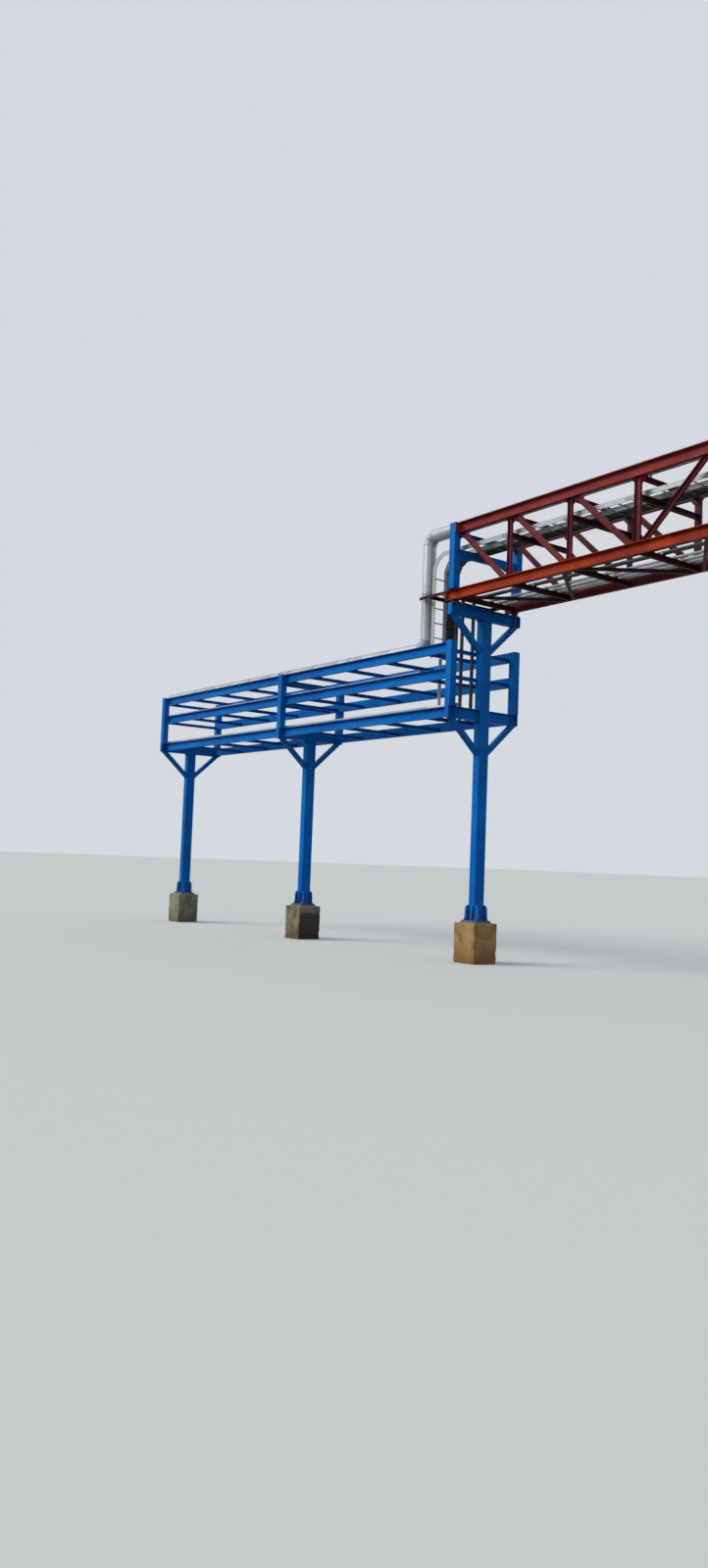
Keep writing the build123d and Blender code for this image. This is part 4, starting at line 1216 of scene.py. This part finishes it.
def kneeWelds():
    # Around the foot of each knee on its column's face, and around its head under the arm. Both
    # outlines are the points of the solid that lie in the face.
    lines = []
    for solid in solidsOf("rack_knees") + solidsOf("upper_knees"):
        low, high = solid.min(axis=0), solid.max(axis=0)
        side = 1 if low[1] > 0 else -1
        face, top = low[1] if side > 0 else high[1], high[2]
        foot = solid[np.abs(solid[:, 1] - face) < inFace][:, 2]
        head = solid[np.abs(solid[:, 2] - top) < inFace][:, 1]
        for x, way in ((low[0], -1), (high[0], 1)):
            lines.append(((x, face, foot.min()), (x, face, foot.max()), (way, side, 0)))
            lines.append(((x, head.min(), top), (x, head.max(), top), (way, 0, -1)))
        for z, way in ((foot.min(), -1), (foot.max(), 1)):
            lines.append(((low[0], face, z), (high[0], face, z), (0, side, way)))
        for y, way in ((head.min(), -1), (head.max(), 1)):
            lines.append(((low[0], y, top), (high[0], y, top), (0, way, -1)))
    return lines


def endWelds(along, *nodeNames):
    # The four edges where the ends of straight members meet what they run into.
    lines = []
    first, second = [axis for axis in range(3) if axis != along]
    for low, high in boxesOf(*nodeNames):
        for end, back in ((low, 1), (high, -1)):
            for fixed, free in ((first, second), (second, first)):
                for edge, way in ((low, -1), (high, 1)):
                    start, finish, outward = end.copy(), end.copy(), np.zeros(3)
                    start[fixed] = finish[fixed] = edge[fixed]
                    start[free], finish[free] = low[free], high[free]
                    outward[fixed], outward[along] = way, back
                    lines.append((start, finish, outward))
    return lines


def ribWelds():
    # Both sides of every rib, on the base plate and up the column's face.
    lines = []
    for letter in "abcd":
        for foot, face, outward, aside in ribFeet(*boxOf(f"base_shoe_{letter}")):
            for way in (-aside, aside):
                start = foot + way * shoe["rib"] / 2
                tip = start + outward * (shoe["ribReach"] - weld["fillet"] - face)
                top = start + (0, 0, shoe["ribHeight"] - weld["fillet"])
                lines += [(start, tip, way + (0, 0, 1)), (start, top, way + outward)]
    return lines


def diagonalWelds():
    # Along the level cuts of the diagonals, on the faces of the chords.
    lines = []
    for solid in solidsOf("truss_diagonals"):
        low, high = solid.min(axis=0), solid.max(axis=0)
        for z, way in ((low[2], 1), (high[2], -1)):
            cut = solid[np.abs(solid[:, 2] - z) < inFace][:, 0]
            lines += [((cut.min(), y, z), (cut.max(), y, z), (0, side, way))
                      for y, side in ((low[1], -1), (high[1], 1))]
    return lines


rackJoints = kneeWelds() + ribWelds() + endWelds(0, "beams_bottom", "beams_mid", "beams_top")
rackJoints += endWelds(1, "rungs_bottom", "rungs_mid", "rungs_top")
trussJoints = diagonalWelds() + endWelds(2, "truss_verticals")
trussJoints += endWelds(1, "floor_beams", "ladder_beams")
makePiece("columnSeams", weldBeads(columnSeams(), weld["seamWide"], weld["seamRise"]), blueSteel, 60)
makePiece("rackWelds", weldBeads(rackJoints, weld["fillet"], weld["rise"]), blueSteel, 60)
makePiece("trussWelds", weldBeads(trussJoints, weld["fillet"], weld["rise"]), maroonSteel, 60)


# Floor, light and backdrop

stageLook = {
    "floor": (0.62, 0.61, 0.59, 1), "floorHalf": 400.0, "bounce": (0.11, 0.095, 0.08, 1),
    "backdrop": (0.66, 0.70, 0.74, 1), "sky": (0.76, 0.88, 1.0, 1), "skyStrength": 0.68,
    "sun": (1.0, 0.97, 0.86), "sunStrength": 2.1, "sunSpread": 34, "sunFrom": (-0.42, -0.74, 0.60),
}


def seenRay():
    path = addNode("ShaderNodeLightPath").outputs
    mirrored = reckon("MAXIMUM", path["Is Glossy Ray"], path["Is Transmission Ray"])
    return reckon("MAXIMUM", path["Is Camera Ray"], mirrored)


def addStage(look):
    scene = bpy.context.scene
    scene.world = bpy.data.worlds.new("world")
    scene.world.use_nodes = True
    tree = nodeWork["tree"] = scene.world.node_tree
    ground = tree.nodes["Background"]
    tree.links.new(blend(seenRay(), look["sky"], look["backdrop"]), ground.inputs["Color"])
    tree.links.new(level(seenRay(), look["skyStrength"], 1.0), ground.inputs["Strength"])
    material, shader = newFinish("floor")
    colour = blend(seenRay(), look["bounce"], look["floor"])
    material.node_tree.links.new(colour, shader.inputs["Base Color"])
    shader.inputs["Roughness"].default_value = 0.95
    shader.inputs["Specular IOR Level"].default_value = 0.0
    half = look["floorHalf"]
    mesh = bpy.data.meshes.new("floor")
    mesh.from_pydata([(-half, -half, 0), (half, -half, 0), (half, half, 0), (-half, half, 0)], [],
                     [(0, 1, 2, 3)])
    mesh.materials.append(material)
    floor = bpy.data.objects.new("floor", mesh)
    scene.collection.objects.link(floor)
    sun = bpy.data.lights.new("sun", "SUN")
    sun.color = look["sun"]
    sun.energy = look["sunStrength"]
    sun.angle = math.radians(look["sunSpread"])
    lamp = bpy.data.objects.new("sun", sun)
    scene.collection.objects.link(lamp)
    lamp.rotation_euler = Vector(look["sunFrom"]).to_track_quat("Z", "Y").to_euler()


addStage(stageLook)
bpy.context.scene.view_settings.view_transform = "Standard"
print("stage set")
